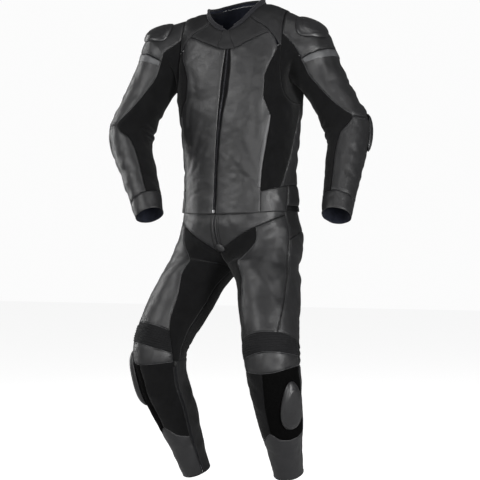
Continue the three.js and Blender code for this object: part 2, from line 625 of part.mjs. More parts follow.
for (const side of SIDES) {
  const torso = charts[`torso_${side}`];
  const sleeve = charts[`sleeve_${side}`];
  const thigh = charts[`thigh_${side}`];
  const shin = charts[`shin_${side}`];

  // Jacket body
  sew(`chest_yoke_${side}`, 'leather', {
    chart: torso, window: { v: [0, 140], round: [0, 70] },
    edges: [after('zip_edge'), before('shoulder_front'), before('yoke_point')],
  });
  sew(`front_${side}`, 'leather', {
    chart: torso, window: { v: [56, 596], round: [0, 70] },
    edges: [after('zip_edge'), before('front_edge'), before('shoulder_front'), after('yoke_point')],
  });
  sew(`side_stretch_${side}`, 'stretch', {
    chart: torso, window: { v: [112, 560], round: [20, 120] },
    edges: [
      offArmhole(), after('front_edge'), after('yoke_low'), before('side_back'), before('waist_seam'),
    ],
  });
  sew(`hem_leather_${side}`, 'leather', {
    chart: torso, window: { v: [492, 596], round: [40, 95] },
    edges: [after('front_edge'), after('waist_seam'), before('hem_split')],
  });
  sew(`pocket_zip_${side}`, 'trim', {
    chart: torso, window: { v: [322, 524], round: [30, 60] }, inner: LAY_GAP, outer: () => 2.2,
    edges: [after('pocket_edge'), before('front_edge')],
  });

  // Sleeve
  const outerSides = [before('sleeve_outer'), before('sleeve_outer', { mirrorAt: 0 })];
  const outside = [-112.5, 112.5];
  sew(`shoulder_cap_${side}`, 'leather', {
    chart: sleeve, window: { v: [0, 130], round: outside }, edges: [...outerSides, before('cap_low')],
  });
  sew(`upper_sleeve_${side}`, 'leather', {
    chart: sleeve, window: { v: [78, 328], round: outside },
    edges: [...outerSides, after('cap_low'), before('elbow')],
  });
  sew(`forearm_${side}`, 'leather', {
    chart: sleeve, window: { v: [276, 564], round: outside },
    edges: [...outerSides, after('elbow'), before('cuff_top')],
  });
  sew(`sleeve_stretch_${side}`, 'stretch', {
    chart: sleeve, window: { v: [0, 564], round: [22.5, 337.5] },
    edges: [after('sleeve_outer'), after('sleeve_outer', { mirrorAt: 360 }), before('cuff_top')],
  });
  sew(`cuff_${side}`, 'leather', {
    chart: sleeve, window: { v: [512, 590], round: [0, 360] }, edges: [after('cuff_top')],
  });
  sew(`shoulder_slider_${side}`, 'slider', puck(sleeve, SHOULDER_SLIDER));
  sew(`elbow_slider_${side}`, 'slider', puck(sleeve, ELBOW_SLIDER));

  // Trouser hip and thigh
  sew(`belly_yoke_${side}`, 'leather', {
    chart: thigh, window: { v: [40, 182], round: [0, 180] },
    edges: [before('belly_point'), before('side_seam')],
  });
  sew(`thigh_stretch_${side}`, 'stretch', {
    chart: thigh, window: { v: [68, 520], round: [0, 120] },
    edges: [after('belly_point'), before('inner_edge'), before('knee_low')],
  });
  sew(`thigh_front_${side}`, 'leather', {
    chart: thigh, window: { v: [40, 430], round: [20, 180] },
    edges: [after('belly_point'), after('inner_edge'), before('side_seam'), before('rib_top')],
  });
  sew(`hip_yoke_${side}`, 'leather', {
    chart: thigh, window: { v: [40, 182], round: [140, 360] },
    edges: [after('side_seam'), before('hip_seam')],
  });
  sew(`thigh_back_${side}`, 'leather', {
    chart: thigh, window: { v: [96, 452], round: [120, 360] },
    edges: [after('side_seam'), after('hip_seam'), before('rib_top')],
  });
  sew(`knee_back_${side}`, 'stretch', {
    chart: thigh, window: { v: [386, 520], round: [180, 360] },
    edges: [after('knee_outer'), after('rib_top'), before('knee_low')],
  });

  // Knee and shin
  sew(`knee_ribs_${side}`, 'stretch', {
    chart: thigh, window: { v: [400, 480], round: [0, 220] }, rows: RIB_ROWS, finer: true, outer: ribHeight,
    edges: [after('rib_top'), before('rib_low'), after('inner_edge'), before('knee_outer')],
  });
  sew(`knee_leather_${side}`, 'leather', {
    chart: thigh, window: { v: [430, 520], round: [0, 220] },
    edges: [after('rib_low'), before('knee_low'), after('inner_edge'), before('knee_outer')],
  });
  sew(`shin_field_${side}`, 'hook_pile', {
    chart: shin, window: { v: [472, 728], round: [80, 220] },
    edges: [after('knee_low'), before('shin_low'), after('field_edge'), before('knee_outer')],
  });
  sew(`shin_stretch_${side}`, 'stretch', {
    chart: shin, window: { v: [472, 728], round: [0, 120] },
    edges: [after('knee_low'), before('shin_low'), after('calf_zip'), before('field_edge')],
  });
  sew(`shin_leather_${side}`, 'leather', {
    chart: shin, window: { v: [620, 800], round: [0, 220] },
    edges: [after('shin_low'), after('calf_zip'), before('knee_outer')],
  });
  sew(`calf_${side}`, 'leather', {
    chart: shin, window: { v: [472, 800], round: [180, 400] },
    edges: [after('knee_low'), after('knee_outer'), before('calf_zip', { from: 360 })],
  });
  const kneePlace = { ...KNEE_SLIDER.at, v: KNEE_SLIDER_V[side] };
  sew(`knee_slider_${side}`, 'slider', puck(shin, { ...KNEE_SLIDER, at: kneePlace }));
}

// Pieces that cross the middle of the suit
const body = charts.torso_left;
const mirrored = { mirrorAt: 360 };
sew('front_zip', 'zip', {
  chart: body, window: { v: [0, 596], round: [-15, 15] },
  edges: [before('zip_edge'), before('zip_edge', { mirrorAt: 0 })],
});
sew('zip_flap', 'leather', {
  chart: body, window: { v: [0, 112], round: [-11.25, 11.25] }, inner: LAY_GAP, outer: () => 2.4,
  edges: [before('flap_left'), after('flap_right'), before('flap_low')],
});
sew('collar', 'leather', {
  chart: body, window: { v: [-26, 0], round: [0, 360] }, rows: [-26, -13, -SEAM_GAP],
  edges: [after('collar_front'), after('collar_front', mirrored)],
});
sew('collar_binding', 'stretch', {
  chart: body, window: { v: [-34, -26], round: [0, 360] }, rows: [-34, -30.5, -27], inner: -3.2,
  outer: (turn, v) => (v === -30.5 ? 2.2 : 0.8),
  edges: [after('collar_front'), after('collar_front', mirrored)],
});
sew('shoulder_yoke', 'leather', {
  chart: body, window: { v: [0, 200], round: [33.75, 326.25] },
  edges: [
    offArmhole(), offArmhole(mirrored),
    after('shoulder_front'), after('shoulder_front', mirrored), before('yoke_low'),
  ],
});
sew('back_panel', 'leather', {
  chart: body, window: { v: [112, 560], round: [67.5, 292.5] },
  edges: [
    offArmhole(), offArmhole(mirrored),
    after('yoke_low'), before('waist_seam'), after('side_back'), after('side_back', mirrored),
  ],
});
sew('hem_stretch', 'stretch', {
  chart: body, window: { v: [492, 596], round: [67.5, 292.5] },
  edges: [after('waist_seam'), after('hem_split'), after('hem_split', mirrored)],
});
const fly = makeChart({
  point: (turn, v) => charts[turn < 0 ? 'thigh_right' : 'thigh_left'].point(Math.abs(turn), v),
  columns: 180, rows: LEG_ROWS, around: LEG_AROUND, mirrored: false,
});
sew('fly_zip', 'zip', {
  chart: fly, window: { v: [74, 150], round: [-2, 2] }, inner: 0.9, outer: () => 2.6, edges: [],
});

export default suit;
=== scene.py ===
# A leather race suit of jacket and trousers, filled out as worn, with nobody inside.
# Metres in the scene. The sizes in these tables are in millimetres.
import math

import bmesh
import bpy
import numpy as np
from mathutils import Matrix, Vector

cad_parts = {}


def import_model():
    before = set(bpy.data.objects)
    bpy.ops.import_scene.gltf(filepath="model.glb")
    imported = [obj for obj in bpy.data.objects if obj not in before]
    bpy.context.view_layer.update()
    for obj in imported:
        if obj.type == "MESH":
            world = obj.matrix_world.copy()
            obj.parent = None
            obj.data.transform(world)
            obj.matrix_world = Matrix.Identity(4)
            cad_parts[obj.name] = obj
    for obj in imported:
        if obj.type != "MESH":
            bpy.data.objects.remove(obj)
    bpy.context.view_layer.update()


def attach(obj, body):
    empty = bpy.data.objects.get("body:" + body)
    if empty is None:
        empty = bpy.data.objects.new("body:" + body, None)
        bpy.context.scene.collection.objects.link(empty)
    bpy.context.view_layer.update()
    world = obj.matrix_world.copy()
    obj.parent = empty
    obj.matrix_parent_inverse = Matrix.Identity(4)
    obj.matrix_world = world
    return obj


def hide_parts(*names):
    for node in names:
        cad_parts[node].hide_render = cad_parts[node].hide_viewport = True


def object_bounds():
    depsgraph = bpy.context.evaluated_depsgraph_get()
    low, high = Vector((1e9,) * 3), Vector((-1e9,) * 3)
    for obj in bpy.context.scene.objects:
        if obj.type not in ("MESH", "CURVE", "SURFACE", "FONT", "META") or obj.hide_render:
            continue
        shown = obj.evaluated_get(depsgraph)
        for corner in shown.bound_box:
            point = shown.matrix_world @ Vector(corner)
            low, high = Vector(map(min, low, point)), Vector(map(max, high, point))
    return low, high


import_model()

MM = 0.001

# Cloth and sewing sizes
CELL = 5.0
WALL = 1.5
SEAM_GAP = 0.3
SEAM_DIP = 1.5
SEAM_SOFTNESS = 3.2
STITCH_PITCH = 4.2
STITCH_LENGTH = 3.0
STITCH_THICK = 0.45
ZIP_ROUND = 0.85
TAPE_ROUND = 2
RIB_START = 404
RIB_PITCH = 4.8
RIB_HEIGHT = 1.8
CROTCH_SLIT = 0.06
NORMAL_STEP = 0.35


def table(columns, rows):
    """Short tables with named columns."""
    names = columns.split()
    return [dict(zip(names, row)) for row in rows]


def lengthwise(*rows):
    return "lengthwise", rows


def crosswise(*rows):
    return "crosswise", rows


def all_round(*rows):
    turned = [[(v, place + turn) for v, place in rows] for turn in (-360, 0, 360)]
    return "crosswise", [row for turn in turned for row in turn]


# Sections of the torso, from the collar's edge down to the hem
TORSO = table("v half front back zSide zFront zBack turn square lean", [
    (-34, 82, 82, 65, 22, -50, 36, -10, 2.0, 0.14),
    (-26, 84, 84.5, 67, 19, -54, 33, -10, 2.0, 0.14),
    (0, 89, 91, 71, 10, -62, 24, -10, 2.0, 0.13),
    (35, 108, 102, 84, 6, -84, 2, -10, 2.2, 0.1),
    (85, 150, 116, 98, -12, -120, -45, -12, 2.6, 0.045),
    (150, 176, 126, 110, -80, -172, -120, -10, 2.9, 0.04),
    (230, 184, 132, 118, -170, -235, -205, -6, 2.9, 0.02),
    (300, 184, 134, 118, -262, -292, -285, -2, 2.6, 0),
    (380, 178, 132, 112, -365, -375, -370, 3, 2.4, 0),
    (480, 174, 130, 106, -475, -480, -478, 7, 2.3, 0),
    (560, 178, 134, 116, -546, -553, -550, 8, 2.3, 0),
    (596, 180, 137, 119, -579, -588, -582, 8, 2.3, 0),
])
TORSO_CENTRE = table("v x y", [
    (-34, 2, 3),
    (0, 2, 3),
    (85, 5, 9),
    (230, 8, 15),
    (596, 10, 18),
])
TORSO_GIRTH = 980
ARMHOLE = {"round": 90, "v": 190, "up": 105, "down": 118, "front": 37.8, "back": 36, "square": 2.3}
ARMHOLE_RADIUS = 110
ARMHOLE_BLEND = 50

# Bent arms, and the half sizes of a sleeve along them (0 shoulder, 1 elbow, 2 wrist)
SLEEVE_GIRTH = 410
SLEEVE_BEND = 0.2
CAP_SPREAD = 0.75
ARM = {
    "left": {"side": 1, "shoulder": (176, 58, -84), "elbow": (340, 53, -345), "wrist": (367, -101, -594)},
    "right": {"side": -1, "shoulder": (-180, -29, -80), "elbow": (-299, -106, -350), "wrist": (-178, -188, -590)},
}
SLEEVE = table("v along up across", [
    (70, 0.18, 88, 88),
    (150, 0.45, 67, 72),
    (230, 0.72, 63, 66),
    (300, 0.98, 66, 65),
    (370, 1.22, 58, 58),
    (450, 1.5, 52, 52),
    (530, 1.78, 46, 46),
    (590, 2.0, 41, 42),
])

# Hip sections that part into two thighs as share goes from 0 to 1, then each leg
LEG_GIRTH = 520
LEG_BEND = 0.22
LEG_DROP = (0, 0, -1)
HIP = {"turn": 8, "x": 10, "y": 18, "square": 2.3}
PELVIS = table("v share half front back out fore side deep tilt zSide zFront zBack", [
    (40, 0, 173.7, 130.7, 112.7, 90, 10, 90, 95, 0, -563, -571, -566),
    (62, 0, 175.7, 131.7, 113.7, 90, 10, 90, 95, 0, -584, -594, -588),
    (82, 0, 180, 134, 117, 90, 10, 90, 95, 0, -604, -615, -608),
    (120, 0.1, 191, 134, 122, 96, 22, 94, 110, 4, -636, -660, -652),
    (166, 0.32, 198, 132, 124, 99, 28, 98, 112, 10, -670, -704, -699),
    (210, 0.7, 201, 130, 122, 102, 34, 101, 107, 14, -700, -735, -734),
    (250, 1, 204, 120, 110, 104, 39, 103, 101, 18, -729, -742, -742),
])
LEG_POSE = {
    "left": {"side": 1, "hip": (88, 0, -653), "knee": (218, 160, -1000), "ankle": (185, 30, -1320)},
    "right": {"side": -1, "hip": (88, 0, -653), "knee": (186, 176, -985), "ankle": (154, 15, -1340)},
}
LEG = table("v along side deep", [
    (290, 0.36, 90, 100),
    (336, 0.54, 85, 94),
    (400, 0.8, 79, 84),
    (470, 1.0, 77, 80),
    (540, 1.2, 72, 74),
    (640, 1.5, 63, 66),
    (740, 1.8, 48, 50),
    (800, 2.0, 42, 44),
])

# Seams. A lengthwise seam gives its place round the cloth in degrees at each row down it,
# and a crosswise seam gives how far down it lies at each place round.
SEAMS = {
    # jacket body
    "zip_edge": lengthwise((-40, ZIP_ROUND), (600, ZIP_ROUND)),
    "tape_edge": lengthwise((-40, TAPE_ROUND), (600, TAPE_ROUND)),
    "collar_front": lengthwise((-34, 14), (-26, 9), (-12, 3), (0, 1)),
    "shoulder_front": lengthwise((0, 43), (85, 44), (160, 52)),
    "yoke_point": crosswise((84, 0), (72, 18), (82, 36), (112, 52)),
    "yoke_low": crosswise((150, 40), (150, 80), (136, 120), (128, 180), (136, 240), (150, 280), (150, 320)),
    "front_edge": lengthwise(
        (84, 44), (150, 48), (180, 38), (220, 32), (265, 34), (308, 43), (332, 49), (364, 50), (416, 49),
        (524, 47), (600, 47),
    ),
    "side_back": lengthwise((280, 98), (366, 92), (416, 88), (467, 82), (524, 72)),
    "waist_seam": crosswise((532, 44), (524, 60), (514, 90), (512, 130), (512, 230), (514, 270), (524, 300)),
    "hem_split": lengthwise((500, 86), (600, 81)),
    "hem_band": crosswise((580, 60), (578, 180), (580, 300)),
    "pocket_edge": lengthwise((300, 44.6), (600, 42.4)),
    "flap_left": lengthwise((0, 5), (100, 4.5)),
    "flap_right": lengthwise((0, -8), (100, -8.5)),
    "flap_low": crosswise((66, -9), (82, -4), (86, 5)),
    # sleeve
    "sleeve_outer": lengthwise(
        (0, 54), (24, 66), (90, 95), (130, 96), (190, 88), (236, 78), (280, 60), (302, 46), (322, 56),
        (360, 80), (430, 90), (600, 88),
    ),
    "cap_low": crosswise((90, -110), (107, -65), (114, 0), (107, 65), (90, 110)),
    "elbow": crosswise((302, 0), (302, 90)),
    "cuff_top": all_round((543, 0), (538, 90), (535, 180), (538, 270)),
    # trousers
    "belly_point": crosswise((156, 0), (128, 30), (106, 60), (90, 94), (76, 130), (66, 165)),
    "inner_edge": lengthwise(
        (40, 80), (100, 82), (140, 84), (200, 76), (250, 79), (290, 73), (345, 56), (405, 42), (430, 32),
        (465, 22), (520, 17),
    ),
    "crotch_back": lengthwise((90, 352), (180, 344), (260, 322), (340, 312), (440, 306)),
    "side_seam": lengthwise((40, 160), (160, 160), (243, 167), (330, 157), (380, 146), (440, 128)),
    "hip_seam": crosswise((154, 160), (128, 190), (112, 240), (106, 300), (106, 360)),
    "rib_top": crosswise((408, 20), (412, 90), (416, 140), (420, 210)),
    "rib_low": crosswise((463, 15), (455, 60), (451, 110), (457, 160), (462, 210)),
    "knee_outer": lengthwise((380, 198), (700, 200), (800, 204)),
    "knee_low": all_round((486, 0), (490, 60), (494, 110), (488, 180), (486, 270)),
    "field_edge": lengthwise((480, 103), (550, 97), (610, 95), (700, 97)),
    "shin_low": crosswise((702, 15), (684, 60), (656, 96), (674, 118), (682, 160), (680, 205)),
    "calf_zip": lengthwise((480, 17), (615, 19), (700, 24), (800, 22)),
}


# Smooth curves and surfaces
def power(x, square):
    return np.sign(x) * np.abs(x) ** (2 / square)


def smooth_slopes(xs, ys):
    """Slopes at each row of a smooth curve that never overshoots its rows."""
    step = np.diff(xs).reshape(-1, *[1] * (ys.ndim - 1))
    rise = np.diff(ys, axis=0) / step
    slopes = np.empty_like(ys)
    slopes[0] = rise[0]
    slopes[-1] = rise[-1]
    first = 2 * step[1:] + step[:-1]
    second = step[1:] + 2 * step[:-1]
    same = rise[:-1] * rise[1:] > 0
    before = np.where(same, rise[:-1], 1)
    after = np.where(same, rise[1:], 1)
    slopes[1:-1] = np.where(same, (first + second) / (first / before + second / after), 0)
    return slopes


def blend(t, low, high, low_rise, high_rise):
    return (
        (2 * t**3 - 3 * t**2 + 1) * low
        + (t**3 - 2 * t**2 + t) * low_rise
        + (-2 * t**3 + 3 * t**2) * high
        + (t**3 - t**2) * high_rise
    )


def smooth_line(xs, ys, x):
    xs = np.asarray(xs, float)
    ys = np.asarray(ys, float)
    slopes = smooth_slopes(xs, ys)
    inside = np.clip(x, xs[0], xs[-1])
    k = np.clip(np.searchsorted(xs, inside, side="left") - 1, 0, len(xs) - 2)
    step = xs[k + 1] - xs[k]
    t = (inside - xs[k]) / step
    return blend(t, ys[k], ys[k + 1], slopes[k] * step, slopes[k + 1] * step)


def loft(stations, rings, around, down):
    """Smooth cloth through closed rings, each a function of the place round it."""
    xs = np.asarray(stations, float)
    ys = np.stack([ring(around) for ring in rings])
    slopes = smooth_slopes(xs, ys)
    inside = np.clip(down, xs[0], xs[-1])
    k = np.clip(np.searchsorted(xs, inside, side="right") - 1, 0, len(xs) - 2)
    each = np.arange(len(around))
    step = (xs[k + 1] - xs[k])[:, None]
    t = (inside - xs[k])[:, None] / step
    return blend(t, ys[k, each], ys[k + 1, each], slopes[k, each] * step, slopes[k + 1, each] * step)


def torso_ring(row):
    centre_rows = [r["v"] for r in TORSO_CENTRE]
    cx = np.interp(row["v"], centre_rows, [r["x"] for r in TORSO_CENTRE])
    cy = np.interp(row["v"], centre_rows, [r["y"] for r in TORSO_CENTRE])
    turn = math.radians(row["turn"])

    def ring(around):
        s = np.sin(np.radians(around))
        c = np.cos(np.radians(around))
        x = row["half"] * power(s, row["square"])
        y = -np.where(c > 0, row["front"], row["back"]) * power(c, row["square"])
        middle = np.where(c > 0, row["zFront"], row["zBack"])
        z = row["zSide"] + (middle - row["zSide"]) * c * c + row["lean"] * x
        forward = cx + x * math.cos(turn) + y * math.sin(turn)
        sideways = cy - x * math.sin(turn) + y * math.cos(turn)
        return np.stack([forward, sideways, z], 1)

    return ring


TORSO_STATIONS = [row["v"] for row in TORSO]
TORSO_RINGS = [torso_ring(row) for row in TORSO]


def torso_point(around, down):
    return loft(TORSO_STATIONS, TORSO_RINGS, around, down)


def armhole(turn):
    """The armhole's place on the torso, for a place round the sleeve."""
    c = np.cos(np.radians(turn))
    s = np.sin(np.radians(turn))
    reach = np.where(c > 0, ARMHOLE["up"], ARMHOLE["down"])
    width = np.where(s > 0, ARMHOLE["front"], ARMHOLE["back"])
    around = ARMHOLE["round"] - width * power(s, ARMHOLE["square"])
    down = ARMHOLE["v"] - reach * power(c, ARMHOLE["square"])
    return around, down


def unit(vector):
    vector = np.asarray(vector, float)
    return vector / np.linalg.norm(vector)


def limb(points, bend, along):
    """A bent centre line through three joints, rounded at the middle one."""
    start, middle, end = [np.asarray(point, float) for point in points]
    first = middle - start
    second = end - middle
    if along <= 1 - bend:
        return start + first * along, unit(first)
    if along >= 1 + bend:
        return middle + second * (along - 1), unit(second)
    t = (along - 1 + bend) / (2 * bend)
    enter = start + first * (1 - bend)
    leave = middle + second * bend
    at = (1 - t) ** 2 * enter + 2 * t * (1 - t) * middle + t * t * leave
    return at, unit(2 * (1 - t) * (middle - enter) + 2 * t * (leave - middle))


def square_to(direction, way):
    direction = np.asarray(direction, float)
    return unit(direction - way * np.dot(direction, way))


def tube_ring(at, first, second, first_half, second_half, opened=lambda around: around):
    def ring(around):
        turn = np.radians(opened(around))[:, None]
        return at + first * first_half * np.cos(turn) + second * second_half * np.sin(turn)

    return ring


def sleeve_rings(arm):
    side = arm["side"]
    joints = [arm["shoulder"], arm["elbow"], arm["wrist"]]

    def root(turn):
        around, down = armhole(turn)
        return torso_point(side * around, down)

    rings = [root]
    top = np.array([0, 0, 1.0])
    for row in SLEEVE:
        at, way = limb(joints, SLEEVE_BEND, row["along"])
        if row is SLEEVE[0]:
            way = unit(way + CAP_SPREAD * np.array([side * 0.97, side * 0.2, 0]))
        top = square_to(top, way)
        front = np.cross(top, way)
        if front[1] > 0:
            front = -front
        rings.append(tube_ring(at, top, front, row["up"], row["across"]))
    return rings


def hip_frame(side, out, fore, z):
    turn = math.radians(HIP["turn"])
    x = side * out
    y = -fore
    forward = HIP["x"] + x * math.cos(turn) + y * math.sin(turn)
    sideways = HIP["y"] - x * math.sin(turn) + y * math.cos(turn)
    return forward, sideways, z


def leg_rings(pose, slit):
    side = pose["side"]

    def opened(around):
        return slit + (around / 360) * (360 - 2 * slit)

    def pelvis_ring(row):
        def ring(around):
            half = np.radians(opened(around) / 2)
            full = np.radians(opened(around))
            is_front = around < 180
            share = row["share"]
            hip_out = row["half"] * power(np.sin(half), HIP["square"])
            hip_fore = np.where(is_front, row["front"], row["back"]) * power(np.cos(half), HIP["square"])
            out = (1 - share) * hip_out + share * (row["out"] - row["side"] * np.cos(full))
            fore = (1 - share) * hip_fore + share * (row["fore"] + row["deep"] * np.sin(full))
            middle = np.where(is_front, row["zFront"], row["zBack"])
            z = row["zSide"] + (middle - row["zSide"]) * np.cos(half) ** 2 + row["tilt"] * np.sin(full)
            return np.stack(hip_frame(side, out + SEAM_GAP / 2, fore, z), 1)

        return ring

    rings = [pelvis_ring(row) for row in PELVIS]
    joints = [hip_frame(side, *pose[joint]) for joint in ("hip", "knee", "ankle")]
    inward = np.subtract(hip_frame(side, -1, 0, 0), hip_frame(side, 0, 0, 0))
    for row in LEG:
        at, way = limb(joints, LEG_BEND, row["along"])
        if row is LEG[0]:
            way = unit(way + LEG_DROP)
        inner = square_to(inward, way)
        front = np.cross(inner, way)
        if front[1] > 0:
            front = -front
        rings.append(tube_ring(at, inner, front, row["side"], row["deep"], opened))
    return rings


class Cloth:
    """One surface of cloth. around runs round it in degrees and down runs along it in millimetres."""

    def __init__(self, kind, point, girth, mirrored):
        self.kind = kind
        self.point = point
        self.per_degree = girth / 360
        self.mirrored = mirrored
        self.normal = self.own_normal

    def own_normal(self, around, down):
        across = self.point(around + NORMAL_STEP, down) - self.point(around - NORMAL_STEP, down)
        along = self.point(around, down + 1) - self.point(around, down - 1)
        short = np.linalg.norm(along, axis=1) < 1e-6
        along[short] = [0, 0, -1]
        out = np.cross(along, across)
        out /= np.linalg.norm(out, axis=1)[:, None]
        return -out if self.mirrored else out


SIDES = {"left": 1, "right": -1}


def torso_cloth(side):
    return Cloth("torso", lambda around, down: torso_point(SIDES[side] * around, down), TORSO_GIRTH, side == "right")


def sleeve_cloth(side, torso):
    rings = sleeve_rings(ARM[side])
    stations = [0] + [row["v"] for row in SLEEVE]
    cloth = Cloth("sleeve", lambda around, down: loft(stations, rings, around, down), SLEEVE_GIRTH, side == "left")

    def normal(around, down):
        """The sleeve leaves the armhole in line with the torso."""
        share = np.clip(down / ARMHOLE_BLEND, 0, 1)
        share = (share * share * (3 - 2 * share))[:, None]
        place, low = armhole(around)
        out = torso.normal(place, low) * (1 - share) + cloth.own_normal(around, down) * share
        return out / np.linalg.norm(out, axis=1)[:, None]

    cloth.normal = normal
    return cloth


def leg_cloth(kind, side, slit):
    rings = leg_rings(LEG_POSE[side], slit)
    stations = [row["v"] for row in PELVIS + LEG]
    return Cloth(kind, lambda around, down: loft(stations, rings, around, down), LEG_GIRTH, side == "right")


CLOTHS = {}
for side in SIDES:
    CLOTHS["torso", side] = torso_cloth(side)
    CLOTHS["sleeve", side] = sleeve_cloth(side, CLOTHS["torso", side])
    CLOTHS["thigh", side] = leg_cloth("leg", side, CROTCH_SLIT)
    CLOTHS["shin", side] = leg_cloth("leg", side, 0)


# Seams as edges of a piece
def after(seam, mirror=None, start=0):
    return {"seam": seam, "keep": 1, "mirror": mirror, "start": start}


def before(seam, mirror=None, start=0):
    return {"seam": seam, "keep": -1, "mirror": mirror, "start": start}


def off_armhole(mirror=None):
    return {"seam": "armhole", "keep": 1, "mirror": mirror, "start": 0}


def seam_place(edge, around):
    return around - edge["start"] if edge["mirror"] is None else edge["mirror"] - around


def seam_distance(cloth, edge, around, down):
    """Millimetres on the flat cloth from the seam, more than nothing on the side that is kept."""
    place = seam_place(edge, around)
    if edge["seam"] == "armhole":
        width = np.where(place < ARMHOLE["round"], ARMHOLE["front"], ARMHOLE["back"])
        reach = np.where(down < ARMHOLE["v"], ARMHOLE["up"], ARMHOLE["down"])
        s = np.abs((ARMHOLE["round"] - place) / width) ** ARMHOLE["square"]
        c = np.abs((ARMHOLE["v"] - down) / reach) ** ARMHOLE["square"]
        return ((s + c) ** (1 / ARMHOLE["square"]) - 1) * ARMHOLE_RADIUS
    way, rows = SEAMS[edge["seam"]]
    downs = [row[0] for row in rows]
    places = [row[1] for row in rows]
    if way == "lengthwise":
        return edge["keep"] * (place - smooth_line(downs, places, down)) * cloth.per_degree
    return edge["keep"] * (down - smooth_line(places, downs, place))


# Folds in the cloth. Each runs from one place to another: round in degrees and down in
# millimetres, a soft trough (depth below nothing) or ridge of its own width, bowed sideways.
TORSO_FOLDS = table("side round down to_round to_down width depth bow", [
    ("both", 20, 250, 36, 395, 9, -1.6, 6),
    ("both", 12, 330, 40, 470, 7, -1.4, -8),
    ("left", 8, 420, 38, 545, 8, -1.8, 9),
    ("left", 22, 205, 30, 300, 12, -1.3, 4),
    ("left", 14, 470, 44, 500, 6, -1.2, 5),
    ("right", 10, 400, 40, 500, 8, -1.5, -6),
    ("right", 26, 180, 20, 290, 11, -1.3, -5),
    ("right", 9, 520, 40, 560, 6, -1.1, 4),
    ("both", 24, 120, 38, 165, 10, -1.3, 4),
    ("both", 60, 300, 78, 340, 8, -2.0, 5),
    ("both", 56, 345, 84, 372, 9, -2.2, -4),
    ("both", 58, 410, 82, 430, 8, -1.9, 5),
    ("both", 52, 470, 76, 455, 9, -2.1, -5),
    ("both", 100, 330, 128, 372, 12, -2.6, 8),
    ("both", 96, 400, 135, 430, 11, -2.8, -6),
    ("both", 92, 455, 126, 480, 10, -2.4, 7),
    ("left", 132, 240, 168, 205, 14, -2.2, 9),
    ("right", 136, 255, 170, 230, 13, -2.4, -8),
    ("both", 118, 190, 150, 176, 11, -1.8, 5),
    ("left", 140, 470, 178, 498, 12, -2.6, -7),
    ("right", 146, 440, 176, 462, 12, -2.3, 6),
    ("both", 168, 60, 172, 126, 12, -1.2, 4),
    ("both", 86, 66, 128, 84, 12, -1.3, 6),
    ("both", 58, 545, 74, 585, 8, -1.4, 4),
    ("both", 110, 530, 122, 590, 7, -1.5, -3),
    ("both", 138, 525, 146, 590, 7, -1.3, 4),
    ("both", 158, 528, 162, 590, 6, -1.4, -3),
])
SLEEVE_FOLDS = table("side round down to_round to_down width depth bow", [
    ("both", -40, 60, 30, 92, 11, -1.8, 8),
    ("both", 40, 40, 74, 84, 9, -1.4, -5),
    ("left", -96, 120, -20, 146, 8, -3.0, 7),
    ("left", -90, 150, 4, 186, 8, -3.6, -8),
    ("left", -84, 192, 10, 214, 7, -4.0, 8),
    ("left", -76, 222, 18, 250, 8, -4.4, -6),
    ("left", -66, 258, 26, 268, 7, -4.2, 6),
    ("left", -50, 282, 30, 290, 6, -3.2, -4),
    ("right", -90, 140, -30, 168, 9, -2.2, 6),
    ("right", -78, 190, 2, 204, 8, -2.8, -8),
    ("right", -70, 236, 14, 246, 8, -3.2, 7),
    ("right", -54, 272, 20, 280, 7, -2.8, -5),
    ("both", 30, 130, 62, 236, 11, -1.2, 7),
    ("both", 150, 236, 236, 262, 9, -2.6, 7),
    ("both", 130, 276, 240, 292, 8, -3.6, -6),
    ("both", 118, 304, 236, 310, 8, -4.0, 5),
    ("both", 130, 334, 230, 326, 9, -3.0, -6),
    ("both", 150, 366, 214, 348, 8, -2.0, 5),
    ("both", 120, 60, 196, 96, 12, -2.4, 8),
    ("both", 160, 116, 232, 98, 11, -2.2, -7),
    ("left", 100, 168, 168, 196, 10, -1.5, 6),
    ("right", 110, 180, 176, 204, 10, -1.7, -6),
    ("both", -56, 372, 20, 392, 9, -1.4, 6),
    ("both", -40, 430, 60, 444, 10, -1.2, -6),
    ("left", -70, 470, 10, 500, 9, -1.6, 6),
    ("right", -60, 486, 24, 512, 9, -1.5, -5),
    ("both", 150, 430, 196, 520, 10, -1.2, 5),
])
